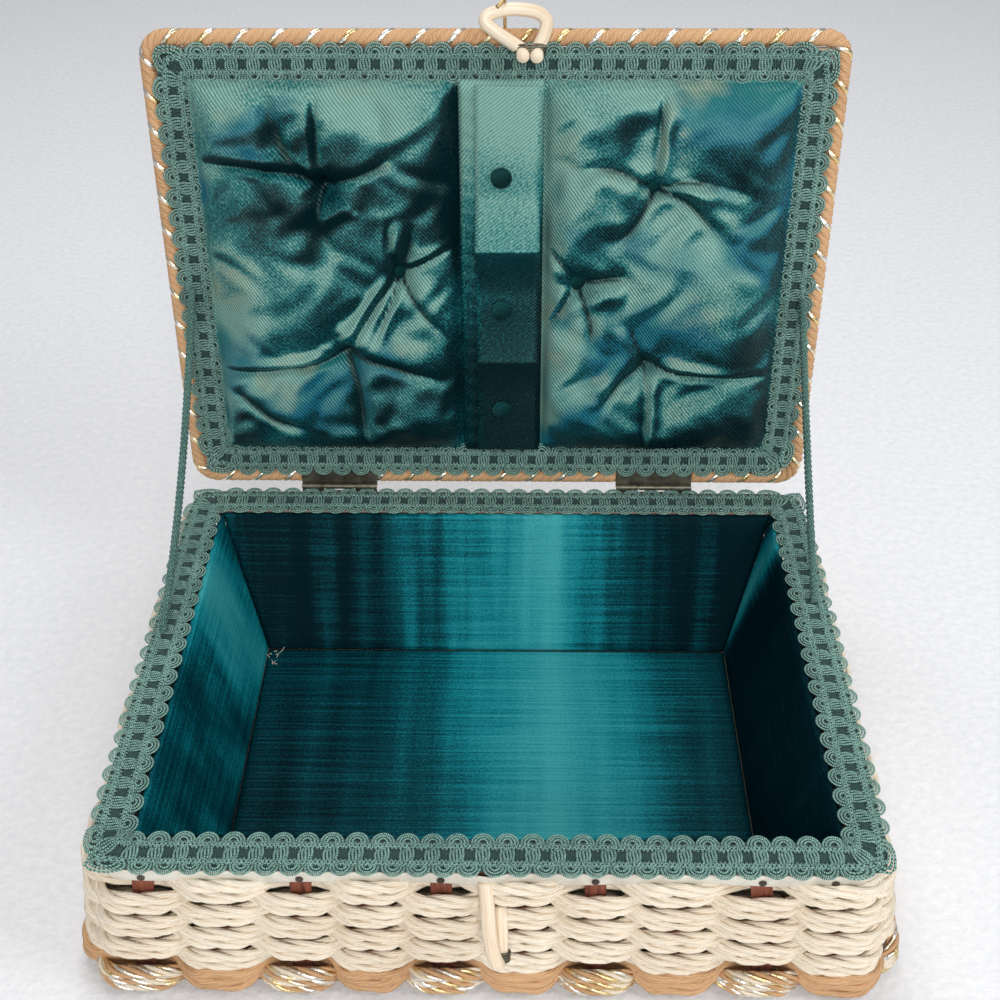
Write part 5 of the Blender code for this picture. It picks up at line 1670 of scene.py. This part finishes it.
    def surface(self, plan: PadPlan) -> Array:
        """Return a panel's top as a grid in the lid's axes."""
        columns = int((plan.high - plan.low) / self.spacing) + 1
        rows = int((self.far - self.near) / self.spacing) + 1
        across, along = np.meshgrid(
            np.linspace(plan.low, plan.high, columns), np.linspace(self.near, self.far, rows)
        )
        sides = (across - plan.low, plan.high - across, along - self.near, self.far - along)
        share = np.ones_like(across)
        for number, side in enumerate(sides):
            wander = 1 + 0.35 * np.sin((across if number > 1 else along) * 95.0 + number * 2.0)
            near = np.clip((side - 0.0015) / (self.edge_width * wander), 0, 1)
            share = share * np.sqrt(1 - (1 - near) ** 2)
        height = self.crown * share
        mm_x, mm_y = across * 1000, along * 1000
        for x, y, wide, deep, rise, tilt in plan.swells:
            dx, dy = mm_x - x, mm_y - y
            turned = dx * math.cos(tilt) + dy * math.sin(tilt)
            other = dy * math.cos(tilt) - dx * math.sin(tilt)
            height = height + 0.001 * rise * np.exp(-((turned / wide) ** 2) - (other / deep) ** 2) * share
        change = np.zeros_like(height)
        for crease in plan.creases:
            change = change + self.relief * self._drawn(mm_x, mm_y, crease)[0]
        height = height + change * np.clip(share * 1.6, 0.25, 1.0)
        for x, y, depth in plan.tufts:
            near = np.hypot(mm_x - x, mm_y - y) / 6.5
            height = height * (1 - depth * 0.86 * np.exp(-(near**1.6)))
        ripple = np.sin(mm_x * 0.31 + np.sin(mm_y * 0.17) * 1.8) * np.sin(mm_y * 0.27 + np.sin(mm_x * 0.13) * 1.6)
        height = height + 0.00030 * ripple * share
        height = self.edge_height + np.maximum(height, 0.0)
        return np.stack([across, along, self.level + height], axis=2)

    def held(self, plan: PadPlan, grid: Array) -> tuple[Array, Array]:
        """Return which of a panel's top points its stitches and creases hold, and where its crease valleys get
        painted shade.

        Args:
            plan: The panel's drawing.
            grid: Its top, in the lid's axes.

        Returns:
            A mask, and the painted shade of the crease valleys over the grid.
        """
        across, along = grid[..., 0] * 1000, grid[..., 1] * 1000
        depth, valley_shades = np.zeros(across.shape), np.zeros(across.shape)
        for crease in plan.creases:
            change, valley_shade = self._drawn(across, along, crease)
            depth, valley_shades = np.minimum(depth, change), np.maximum(valley_shades, valley_shade)
        held = depth < -0.0009
        for x, y, _ in plan.tufts:
            held |= np.hypot(across - x, along - y) < 4.0
        held[:2], held[-2:], held[:, :2], held[:, -2:] = True, True, True, True
        return held, valley_shades

    def inflate(self, piece: bpy.types.Object, held: Array) -> None:
        """Let a panel's cloth swell between its stitches under the stuffing's pressure.

        Args:
            piece: The panel.
            held: Which of its top points stay.
        """
        count = len(piece.data.vertices)
        start = np.empty(count * 3)
        piece.data.vertices.foreach_get("co", start)
        stays = np.concatenate([held.ravel(), np.ones(count - held.size, bool)])
        group = piece.vertex_groups.new(name="held")
        group.add([int(number) for number in np.flatnonzero(stays)], 1.0, "REPLACE")
        cloth = piece.modifiers.new("stuffed", "CLOTH")
        cloth.settings.vertex_group_mass = "held"
        cloth.settings.quality = 5
        cloth.settings.mass = 0.02
        cloth.settings.tension_stiffness = 5.0
        cloth.settings.compression_stiffness = 5.0
        cloth.settings.shear_stiffness = 2.0
        cloth.settings.bending_stiffness = 0.6
        cloth.settings.shrink_min = -0.04
        cloth.settings.use_pressure = True
        cloth.settings.uniform_pressure_force = self.pressure
        cloth.settings.effector_weights.gravity = 0.0
        cloth.point_cache.frame_start = 1
        cloth.point_cache.frame_end = 20
        for moment in range(1, 21):
            bpy.context.scene.frame_set(moment)
        select_only(piece)
        bpy.ops.object.modifier_apply(modifier=cloth.name)
        moved = np.empty(count * 3)
        piece.data.vertices.foreach_get("co", moved)
        step = (moved - start).reshape(-1, 3)
        size = np.linalg.norm(step, axis=1, keepdims=True)
        log.info("%s swells by up to %.1f mm", piece.name, 1000 * float(size.max()))
        step = step * np.minimum(1.0, self.furthest / np.maximum(size, 1e-9))
        top = step[: held.size].reshape(*held.shape, 3)
        for _ in range(3):
            calm = (top + np.roll(top, 1, 0) + np.roll(top, -1, 0) + np.roll(top, 1, 1) + np.roll(top, -1, 1)) / 5
            top[~held] = calm[~held]
        piece.data.vertices.foreach_set("co", (start.reshape(-1, 3) + step).ravel())
        piece.vertex_groups.remove(piece.vertex_groups["held"])
        piece.data.update()
        bpy.context.scene.frame_set(1)

    def build(self) -> None:
        """Make both panels."""
        for plan in self.plans():
            flat = self.surface(plan)
            size = (plan.high - plan.low, self.far - self.near)
            piece = sheet_piece(plan.node, self.axes.to_row(flat), size, 0.0004)
            held, valley_shades = self.held(plan, flat)
            self.inflate(piece, held)
            # The crease valleys' strength, kept for painted shade along them.
            layer = piece.data.attributes.new("valley_shade", "FLOAT", "POINT")
            layer.data.foreach_set("value", np.concatenate([valley_shades.ravel(), np.zeros(valley_shades.size)]))
            piece.modifiers.new("finer", "SUBSURF").render_levels = 1
            piece.modifiers["finer"].levels = 1
            settle(piece)
            # The right pad's satin copy carries more painted sheen.
            finish = self.finishes.satin if plan.high < 0 else self.finishes.right_lit_satin
            hand_in(piece, f"{plan.node}_satin", finish, Body.LID, (plan.node,))


@dataclass
class CoveredButtons:
    """Buttons covered in satin, gathered at the back."""

    finishes: Finishes
    axes: LidAxes
    strap_places: tuple[tuple[float, float], ...] = ((0.0027, 0.14636), (0.0027, 0.08932), (0.0027, 0.04182))
    strap_level: float = 0.0039
    strap_radius: float = 0.0044
    tuft_radius: float = 0.0037

    def _button(self, name: str, place: tuple[float, float, float], radius: float, height: float) -> bpy.types.Object:
        """Make one button.

        Args:
            name: Its name.
            place: Its foot's middle in the lid's axes.
            radius: Its radius.
            height: Its height.

        Returns:
            The button.
        """
        for other in bpy.context.scene.objects:
            other.select_set(False)
        bpy.ops.mesh.primitive_uv_sphere_add(segments=28, ring_count=14, radius=radius)
        made = bpy.context.object
        choose_faces(made, lambda face: face.center.z < -radius * 0.35)
        bpy.ops.mesh.delete(type="FACE")
        bpy.ops.mesh.select_mode(type="EDGE")
        bpy.ops.mesh.select_all(action="DESELECT")
        bpy.ops.mesh.select_non_manifold()
        bpy.ops.mesh.extrude_region_move(TRANSFORM_OT_translate={"value": (0, 0, -radius * 0.25)})
        bpy.ops.transform.resize(value=(0.8, 0.8, 1.0))
        bpy.ops.mesh.edge_face_add()
        leave_edit()
        foot = -radius * 0.6
        for vertex in made.data.vertices:
            angle = math.atan2(vertex.co.y, vertex.co.x)
            rise = max((vertex.co.z - foot) / (radius - foot), 0.0)
            gather = 1 + 0.035 * math.sin(14 * angle) * (1 - rise)
            vertex.co.x *= gather
            vertex.co.y *= gather
            vertex.co.z = height * rise**0.85
        matrix = Matrix.Rotation(math.radians(self.axes.lean_degrees), 4, "X")
        foot_point = self.axes.to_row(np.array(place))
        made.matrix_world = Matrix.Translation(Vector(foot_point)) @ matrix
        made.name = name
        settle(made)
        return smooth(made, 50)

    def build(self) -> None:
        """Make the strap's buttons and the tufts' buttons."""
        for number, (across, along) in enumerate(self.strap_places, start=1):
            node = f"strap_button_{number}"
            piece = self._button(node, (across, along, self.strap_level), self.strap_radius, 0.0030)
            hand_in(piece, f"strap_button_cover_{number}", self.finishes.ribbon, Body.LID, (node,))
        for number in (1, 2, 3):
            node = f"tuft_button_{number}"
            low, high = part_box(node)
            middle = np.array((low + high) / 2)
            offset = middle - np.array([0.0, self.axes.hinge_y, self.axes.hinge_z])
            out = float(offset @ self.axes.normal)
            along = math.sqrt(max(float(offset[1:] @ offset[1:]) - out**2, 0.0))
            place = (float(middle[0]), along, out - 0.0022)
            piece = self._button(node, place, self.tuft_radius, 0.0028)
            hand_in(piece, f"tuft_button_cover_{number}", self.finishes.ribbon, Body.LID, (node,))


@dataclass
class ToolStrap:
    """The strap down the middle of the lid: a hemmed base, and a loop strip folded up between buttons."""

    finishes: Finishes
    axes: LidAxes
    centre: float = 0.0027
    width: float = 0.0345
    near: float = 0.0194
    far: float = 0.1845
    level: float = -0.0013
    base_height: float = 0.0034
    loop_width: float = 0.0265
    loop_centre: float = 0.00525
    bed: float = 0.0024
    thickness: float = 0.0012
    button_places: tuple[float, float, float] = (0.14636, 0.08932, 0.04182)
    ridge: float = 0.11876
    ridge_rise: float = 0.0125
    low_ridge: float = 0.06516
    low_rise: float = 0.0025
    seat: float = 0.0050

    def rise(self, along: Array) -> Array:
        """Return how high the loop strip stands at places along the lid."""
        made = np.zeros_like(along)
        first, second, third = self.button_places
        for low, peak, high, rise in (
            (second + self.seat, self.ridge, first - self.seat, self.ridge_rise),
            (third + self.seat, self.low_ridge, second - self.seat, self.low_rise),
        ):
            up = np.clip((along - low) / (peak - low), 0, 1)
            down = np.clip((high - along) / (high - peak), 0, 1)
            share = np.where(along < peak, up, down)
            made = np.maximum(made, rise * share**2)
        return made

    def build(self) -> None:
        """Make the base and the loop strip."""
        rows, columns = 190, 34
        along = np.linspace(self.near, self.far, rows)[:, None]
        share = np.linspace(-1, 1, columns)[None, :]
        across = self.centre + share * self.width / 2 + 0 * along
        edge = np.sqrt(np.clip(1 - np.abs(share) ** 7, 0, 1))
        hem = 0.00025 * np.exp(-(((np.abs(share) - 0.80) / 0.035) ** 2))
        pucker = 0.00010 * np.sin(along * 900 + share * 3)
        height = self.base_height * (0.25 + 0.75 * edge) - hem + pucker * edge
        ends = np.clip(np.minimum(along - self.near, self.far - along) / 0.004, 0.0, 1.0)
        height = height * (0.35 + 0.65 * np.sqrt(ends))
        grid = np.stack([across, along + 0 * share, self.level + height], axis=2)
        piece = sheet_piece("strap_base", self.axes.to_row(grid), (self.width, self.far - self.near), 0.0008)
        hand_in(piece, "strap_base_satin", self.finishes.strap, Body.LID, ("strap_base",))
        self.loop_strip()

    def loop_strip(self) -> None:
        """Make the loop strip as a folded band with stitched edges."""
        along = np.linspace(self.near + 0.002, self.far - 0.002, 420)
        rise = self.rise(along)
        centre = np.column_stack([np.full_like(along, self.loop_centre), along, self.bed + 0.0006 + rise])
        half = self.loop_width / 2
        across = np.linspace(-1, 1, 13)
        top = 0.5 * self.thickness * (0.55 + 0.45 * np.sqrt(np.clip(1 - across**6, 0, 1)))
        top = top - 0.00016 * np.exp(-(((np.abs(across) - 0.78) / 0.07) ** 2))
        upper = np.column_stack([across * half, top])
        lower = np.column_stack([across[::-1] * half, -np.full(13, 0.4 * self.thickness)])
        section = np.vstack([upper[::-1], lower[::-1]])
        work = CordWork()
        slope = np.gradient(centre, axis=0)
        up = np.cross(np.array([1.0, 0.0, 0.0]), slope)
        work.lay(centre, section, up)
        work.reshape(self.axes.to_row)
        work.maps = [np.vstack(work.maps) * (1.0, 2 * self.loop_width)]
        piece = work.piece("strap_loop")
        hand_in(piece, "strap_loop_satin", self.finishes.strap, Body.LID, ("strap_loop",))


# Inside of the body


@dataclass
class Linings:
    """The satin-covered panels inside the body."""

    finishes: Finishes
    top_half: tuple[float, float] = (0.1253, 0.0883)
    foot_half: tuple[float, float] = (0.1076, 0.0630)
    floor_level: float = 0.0060
    top_level: float = 0.06775
    thickness: float = 0.0025

    def wall(self, node: str, number: int) -> None:
        """Make one leaning panel, softly puckered down its length.

        Args:
            node: The CAD node that it stands for.
            number: The wall, anticlockwise from the front.
        """
        columns, rows = 120, 44
        share = np.linspace(-1, 1, columns)[None, :]
        height = np.linspace(0, 1, rows)[:, None]
        half_x = self.foot_half[0] + (self.top_half[0] - self.foot_half[0]) * height
        half_y = self.foot_half[1] + (self.top_half[1] - self.foot_half[1]) * height
        along = half_x if number % 2 == 0 else half_y
        across = half_y if number % 2 == 0 else half_x
        seed = np.random.default_rng(40 + number)
        pucker = np.zeros((rows, columns))
        for _ in range(7):
            place, wide, deep = seed.uniform(-0.95, 0.95), seed.uniform(0.03, 0.12), seed.uniform(-0.0006, 0.0005)
            drift = place + 0.06 * seed.normal() * height
            pucker = pucker + deep * np.exp(-(((share - drift) / wide) ** 2)) * (0.4 + 0.6 * height)
        edge = np.clip(np.minimum.reduce([1 - np.abs(share) + 0 * height, height + 0 * share, 1 - height + 0 * share]) / 0.06, 0, 1)
        depth = across - (0.0003 + 0.0010 * np.sqrt(edge) + pucker * edge)
        reach = share * (along - 0.0004)
        level = self.floor_level - 0.0008 + (self.top_level - self.floor_level + 0.0008) * height + 0 * share
        sets = (
            (reach, -depth),
            (depth, reach),
            (-reach, depth),
            (-depth, -reach),
        )
        x, y = sets[number]
        grid = np.stack([x + 0 * level, y + 0 * level, level], axis=2)
        grid = grid[:, ::-1]
        long_side = 2 * (self.top_half[0] if number % 2 == 0 else self.top_half[1])
        piece = sheet_piece(node, grid, (long_side, 0.066), 0.0012)
        hand_in(piece, f"{node}_satin", self.finishes.walls[node.split("_")[0]], Body.BASKET, (node,))

    def floor(self) -> None:
        """Make the floor panel with soft edges."""
        columns, rows = 150, 90
        across = np.linspace(-1, 1, columns)[None, :]
        along = np.linspace(-1, 1, rows)[:, None]
        edge = np.clip(np.minimum(1 - np.abs(across) + 0 * along, 1 - np.abs(along) + 0 * across) / 0.03, 0, 1)
        swell = 0.0002 * np.sin(across * 5.0) * np.cos(along * 3.0)
        level = self.floor_level - 0.0012 * (1 - np.sqrt(1 - (1 - edge) ** 2)) + swell * edge
        x = across * (self.foot_half[0] - 0.0005) + 0 * along
        y = along * (self.foot_half[1] - 0.0005) + 0 * across
        grid = np.stack([x, y, level], axis=2)
        piece = sheet_piece("floor", grid, (2 * self.foot_half[0], 2 * self.foot_half[1]), 0.0018)
        hand_in(piece, "floor_lining_satin", self.finishes.floor, Body.BASKET, ("floor_lining",))

    def frayed(self) -> None:
        """Make the pale threads that have come loose in the rear left corner."""
        seed = np.random.default_rng(5)
        work = CordWork()
        for _ in range(9):
            place = np.array([-self.foot_half[0] + 0.001, self.foot_half[1] - 0.001, self.floor_level + 0.0004])
            place = place + np.array([seed.uniform(0, 0.004), -seed.uniform(0, 0.011), 0])
            points = [place]
            way = np.array([seed.uniform(0.2, 1.0), seed.uniform(-1.0, 0.3), seed.uniform(0.0, 0.3)]) * 0.0007
            for _ in range(4):
                points.append(points[-1] + way)
                way = way + seed.normal(0, 0.0004, 3)
                way[2] = max(way[2], self.floor_level + 0.0003 - points[-1][2])
            work.lay(curve_through(points, 3), round_section(0.00014, 5))
        piece = work.piece("frayed_threads")
        hand_in(piece, "frayed_corner_threads", self.finishes.fray, Body.BASKET)

    def build(self) -> None:
        """Make the four walls and the floor."""
        for number, name in enumerate(("front", "right", "rear", "left")):
            self.wall(f"{name}_lining", number)
        self.floor()
        self.frayed()


# Cane, wire and stays


@dataclass
class CaneWork:
    """The cane loop on the lid, the bow on the front, their wires and the eye."""

    wall: BasketWall
    finishes: Finishes
    axes: LidAxes
    radius: float = 0.0026
    wire_radius: float = 0.00045
    pivot_along: float = 0.2105
    pivot_out: float = -0.0016
    drape_degrees: float = 21.5
    band_bottom: float = 0.06315
    loop_route: tuple[tuple[float, float, float], ...] = (
        (0.0112, 0.0186, 0.0046),
        (0.0112, 0.0170, 0.0018),
        (0.0108, 0.0150, 0.0001),
        (0.0075, 0.0128, 0.0),
        (0.0021, 0.0093, 0.0),
        (-0.0033, 0.0051, 0.0),
        (-0.0020, 0.0020, 0.0),
        (0.0041, 0.0002, 0.0),
        (0.0095, 0.0, 0.0),
        (0.0168, 0.0012, 0.0),
        (0.0203, 0.0045, 0.0),
        (0.0194, 0.0095, 0.0),
        (0.0174, 0.0136, 0.0),
        (0.0167, 0.0154, 0.0002),
        (0.0166, 0.0172, 0.0018),
        (0.0166, 0.0188, 0.0046),
    )
    bow_route: tuple[tuple[float, float, float], ...] = (
        (-0.0004, 0.0034, -0.0022),
        (-0.0002, 0.0048, 0.0010),
        (0.0002, 0.0066, 0.0045),
        (0.0005, 0.0088, 0.00915),
        (0.0010, 0.0117, 0.01515),
        (0.0020, 0.0146, 0.02005),
        (0.0029, 0.0163, 0.02325),
        (0.0038, 0.0162, 0.02605),
        (0.0045, 0.0144, 0.02745),
        (0.0050, 0.0121, 0.02565),
        (0.0050, 0.0091, 0.02145),
        (0.0049, 0.0070, 0.01745),
        (0.0047, 0.0050, 0.01425),
        (0.0045, 0.0028, 0.0120),
    )
    bow_wire_place: tuple[float, float, float] = (0.0050, 0.0130, 0.02660)

    def to_row(self, points: Array) -> Array:
        """Return points of the loop's plane, across and down from the pivot, in the row frame."""
        drape = math.radians(self.drape_degrees)
        down = points[..., 1]
        out = points[..., 2]
        along = self.pivot_along - down * math.cos(drape) + out * math.sin(drape)
        level = self.pivot_out + down * math.sin(drape) + out * math.cos(drape)
        return self.axes.to_row(np.stack([points[..., 0], along, level], axis=-1))

    def front_point(self, place: tuple[float, float, float]) -> tuple[float, float, float]:
        """Return a point given across, out from the front wall and down from the band."""
        across, out, down = place
        height = self.band_bottom - down
        return across, -self.wall.half(height)[1] - out, height

    def lid_loop(self) -> None:
        """Make the cane loop and the wire that holds its legs."""
        route = curve_through(self.loop_route, 6)
        work = CordWork()
        swell = np.ones(len(route))
        swell[:2] = 0.90, 0.98
        swell[-2:] = 0.98, 0.90
        work.lay(route, round_section(self.radius, 16), (0.0, 0.0, 1.0), swell=swell)
        work.reshape(self.to_row)
        hand_in(work.piece("lid_loop"), "lid_loop_cane", self.finishes.cane, Body.CANE_LOOP, ("lid_loop",))
        work = CordWork()
        turns, steps = 3, 40
        angle = np.linspace(0, TAU * turns, turns * steps)
        low, high = 0.0112, 0.0168
        reach = self.radius + self.wire_radius + 0.0001
        middle, stretch = (low + high) / 2, (high - low) / 2
        across = middle + (stretch + reach) * np.cos(angle)
        out = reach * 1.05 * np.sin(angle)
        down = 0.0151 - 0.0016 + 0.0010 * angle / TAU
        spiral = np.column_stack([across, down, out])
        work.lay(spiral, round_section(self.wire_radius, 6), (0.0, 1.0, 0.0))
        work.reshape(self.to_row)
        hand_in(
            work.piece("loop_binding"), "loop_binding_wire", self.finishes.wire, Body.CANE_LOOP, ("loop_binding",)
        )

    def eye(self) -> None:
        """Make the hooked wire eye in the border."""
        reach = self.radius + 0.0013
        angle = np.radians(np.linspace(-90, 72, 13))
        arc_along = self.pivot_along + reach * np.cos(angle)
        arc_out = self.pivot_out + reach * np.sin(angle)
        stem = np.array(
            [(0.2010, self.pivot_out - reach), (0.2045, self.pivot_out - reach), (0.2080, self.pivot_out - reach)]
        )
        hook = np.vstack([stem, np.column_stack([arc_along, arc_out])])
        curl = np.clip((np.arange(len(hook)) - 9) / 7, 0, 1) ** 2
        line = np.column_stack([0.0041 - 0.0042 * curl, hook])
        work = CordWork()
        work.lay(line, round_section(0.00072, 10), (1.0, 0.0, 0.0))
        work.reshape(self.axes.to_row)
        hand_in(work.piece("wire_eye"), "wire_eye_hook", self.finishes.brass, Body.LID, ("wire_eye",))

    def bow(self) -> None:
        """Make the bow on the front and the wire near its bend."""
        route = curve_through([self.front_point(place) for place in self.bow_route], 5)
        work = CordWork()
        work.lay(route, round_section(self.radius, 16), (1.0, 0.0, 0.0))
        hand_in(work.piece("front_bow"), "front_bow_cane", self.finishes.cane, Body.BASKET, ("front_bow",))
        axis = Vector((-0.10, -0.62, -0.78)).normalized()
        across = Vector((0.49, 0.71, -0.49))
        across = (across - axis * across.dot(axis)).normalized()
        side = axis.cross(across)
        turns, steps = 4, 36
        angle = np.linspace(0, TAU * turns, turns * steps)
        reach = self.radius + self.wire_radius
        centre = np.array(self.front_point(self.bow_wire_place))
        spiral = (
            centre
            + np.outer(reach * np.cos(angle), np.array(across))
            + np.outer(reach * np.sin(angle), np.array(side))
            + np.outer(0.00095 * (angle / TAU - turns / 2), np.array(axis))
        )
        work = CordWork()
        work.lay(spiral, round_section(self.wire_radius, 6), tuple(axis))
        hand_in(
            work.piece("bow_binding"), "bow_binding_wire", self.finishes.wire, Body.BASKET, ("bow_binding",)
        )

    def build(self) -> None:
        """Make all the cane work."""
        self.lid_loop()
        self.eye()
        self.bow()


@dataclass
class StayCords:
    """The two braided cords that stop the lid."""

    finishes: Finishes
    axes: LidAxes
    braid_width: float = 0.0026
    radius: float = 0.00145
    gap: float = 0.0003
    stub: float = 0.0030
    rim_top: float = 0.06965
    lid_face: float = -0.0001
    steps: int = 60

    def route(self, lid_end: tuple[float, float], rim_end: tuple[float, float], sag: float) -> Array:
        """Return a stay's centre line.

        Args:
            lid_end: Its place on the lid's trim, across and along.
            rim_end: Its place on the rim's trim.
            sag: How far its middle hangs under the straight line.

        Returns:
            The points from the lid to the rim.
        """
        top = self.axes.to_row(np.array([*lid_end, self.lid_face + self.gap]))
        foot = np.array([*rim_end, self.rim_top + self.gap])
        start = top + self.axes.normal * self.stub
        end = foot + np.array([0, 0, self.stub])
        share = np.linspace(0, 1, 15)[:, None]
        line = start + (end - start) * share
        line[:, 2] -= (sag * 4 * share * (1 - share))[:, 0]
        return curve_through(np.vstack([top, line, foot]), 5)

    def build(self) -> None:
        """Make both stays."""
        for name, lid_end, rim_end, sag in (
            ("left_stay", (-0.1300, 0.0950), (-0.1350, 0.0103), 0.0100),
            ("right_stay", (0.1312, 0.0911), (0.1345, 0.0315), 0.0025),
        ):
            line = self.route(lid_end, rim_end, sag)
            tangent = unit(np.gradient(line, axis=0))
            side = unit(np.cross(np.broadcast_to([1.0, 0.0, 0.0], line.shape), tangent))
            other = np.cross(tangent, side)
            work = CordWork()
            arc = np.concatenate([[0.0], np.cumsum(np.linalg.norm(np.diff(line, axis=0), axis=1))])
            fine = np.arange(0, arc[-1], 0.00028)
            line, side, other = (
                np.column_stack([np.interp(fine, arc, values[:, axis]) for axis in range(3)])
                for values in (line, side, other)
            )
            for strand in range(3):
                turn = TAU * (fine / 0.0064 + strand / 3)
                weave = line + side * (0.00115 * np.sin(turn))[:, None]
                weave = weave + other * (0.00060 * np.sin(2 * turn))[:, None]
                work.lay(weave, round_section(0.00098, 5), side)
            piece = work.piece(name)
            piece.name = f"{name}_cord"
            piece.data.materials.append(self.finishes.stay)
            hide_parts(name)
            tuple(line[-1])
            tuple(line[0])
            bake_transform(piece)
            tuple(line[0])
            float(np.linalg.norm(np.diff(line, axis=0), axis=1).sum())
            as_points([tuple(point) for point in line[::12]] + [tuple(line[-1])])
            log.info("%s: %d faces, between basket and lid", piece.name, len(piece.data.polygons))


# Carried-over CAD nodes


def dress_frame(finishes: Finishes) -> None:
    """Give the CAD nodes that stay their finishes.

    Args:
        finishes: The basket's finishes.
    """
    wanted = {
        "base_board": finishes.board,
        "rim_frame": finishes.board,
        "lid_board": finishes.board,
        "front_stakes": finishes.stake,
        "rear_stakes": finishes.stake,
        "left_stakes": finishes.stake,
        "right_stakes": finishes.stake,
    }
    for number in range(1, 7):
        wanted[f"band_nail_{number}"] = finishes.nail
    for side in ("left", "right"):
        for part in ("body_leaf", "lid_leaf", "pin"):
            wanted[f"{side}_hinge_{part}"] = finishes.brass if part == "pin" else finishes.wire
    for name, finish in wanted.items():
        node = frame["nodes"][name]
        if not node.material_slots:
            node.data.materials.append(finish)
        for slot in node.material_slots:
            slot.material = finish


# Camera, light and floor


@dataclass(frozen=True)
class Studio:
    """The camera at the photograph's angle, soft light and a pale floor."""

    place: tuple[float, float, float] = (0.01040, -0.37034, 0.45776)
    pitch: float = 39.763
    yaw: float = 1.047
    roll: float = 0.378
    lens: float = 47.526

    def camera(self) -> None:
        """Set the camera."""
        pitch, yaw, roll = (math.radians(angle) for angle in (self.pitch, self.yaw, self.roll))
        right = Vector((math.cos(yaw), math.sin(yaw), 0.0))
        ahead = Vector((-math.sin(yaw), math.cos(yaw), 0.0))
        up = ahead * math.sin(pitch) + Vector((0, 0, math.cos(pitch)))
        look = ahead * math.cos(pitch) - Vector((0, 0, math.sin(pitch)))
        image_x = right * math.cos(roll) - up * math.sin(roll)
        image_y = right * math.sin(roll) + up * math.cos(roll)
        data = bpy.data.cameras.new("view")
        data.lens = self.lens
        data.sensor_width = 36.0
        data.clip_start = 0.01
        made = bpy.data.objects.new("view", data)
        bpy.context.scene.collection.objects.link(made)
        turn = Matrix((image_x, image_y, -look)).transposed().to_4x4()
        made.matrix_world = Matrix.Translation(self.place) @ turn
        bpy.context.scene.camera = made

    def floor(self) -> None:
        """Lay the pale floor, which shows white to the camera where the light is full."""
        for other in bpy.context.scene.objects:
            other.select_set(False)
        bpy.ops.mesh.primitive_plane_add(size=8.0, location=(0, 0, 0))
        made = bpy.context.object
        made.name = "studio_floor"
        bench = NodeBench("pale floor")
        weave = bench.noise(bench.where(), 260.0, 4.0)
        tone = bench.ramp(weave, ((0.3, (0.78, 0.79, 0.81)), (0.7, (0.86, 0.86, 0.87))))
        bench.plain(Base_Color=tone, Roughness=0.9, Normal=bench.relief(weave, 0.0006))
        made.data.materials.append(bench.material)

    def light(self) -> None:
        """Set the lamps and the world."""
        for name, place, aim, size, power, tint in (
            ("key", (0.10, -1.35, 0.95), (0, 0, 0.10), 0.65, 14.5, (1.0, 0.99, 0.97)),
            ("fill", (0.95, -0.35, 0.95), (0, 0, 0.10), 0.5, 5.0, (0.96, 0.98, 1.0)),
            ("top", (-0.15, 0.55, 1.35), (0, 0.05, 0.10), 0.7, 8.0, (1.0, 1.0, 1.0)),
        ):
            data = bpy.data.lights.new(name, "AREA")
            data.size = size
            data.energy = power
            data.color = tint
            lamp = bpy.data.objects.new(name, data)
            bpy.context.scene.collection.objects.link(lamp)
            lamp.location = place
            lamp.rotation_euler = (Vector(aim) - Vector(place)).to_track_quat("-Z", "Y").to_euler()
        world = bpy.data.worlds.new("studio")
        world.use_nodes = True
        world.node_tree.nodes["Background"].inputs["Color"].default_value = (0.93, 0.95, 1.0, 1.0)
        world.node_tree.nodes["Background"].inputs["Strength"].default_value = 0.33
        bpy.context.scene.world = world
        bpy.context.scene.view_settings.view_transform = "Standard"

    def build(self) -> None:
        """Set up the studio."""
        self.camera()
        self.floor()
        self.light()


def main() -> None:
    """Build the basket's looks piece by piece."""
    logging.basicConfig(level=logging.INFO, format="%(name)s: %(message)s")
    finishes = Finishes()
    wall = BasketWall()
    axes = LidAxes()
    Studio().build()
    dress_frame(finishes)
    Weave(wall, finishes).build()
    RimBand(wall, finishes).build()
    Trims(finishes, axes).build()
    Linings(finishes).build()
    LidShell(finishes, axes).build()
    LidPads(finishes, axes).build()
    ToolStrap(finishes, axes).build()
    CoveredButtons(finishes, axes).build()
    CaneWork(wall, finishes, axes).build()
    StayCords(finishes, axes).build()


if __name__ == "__main__":
    main()
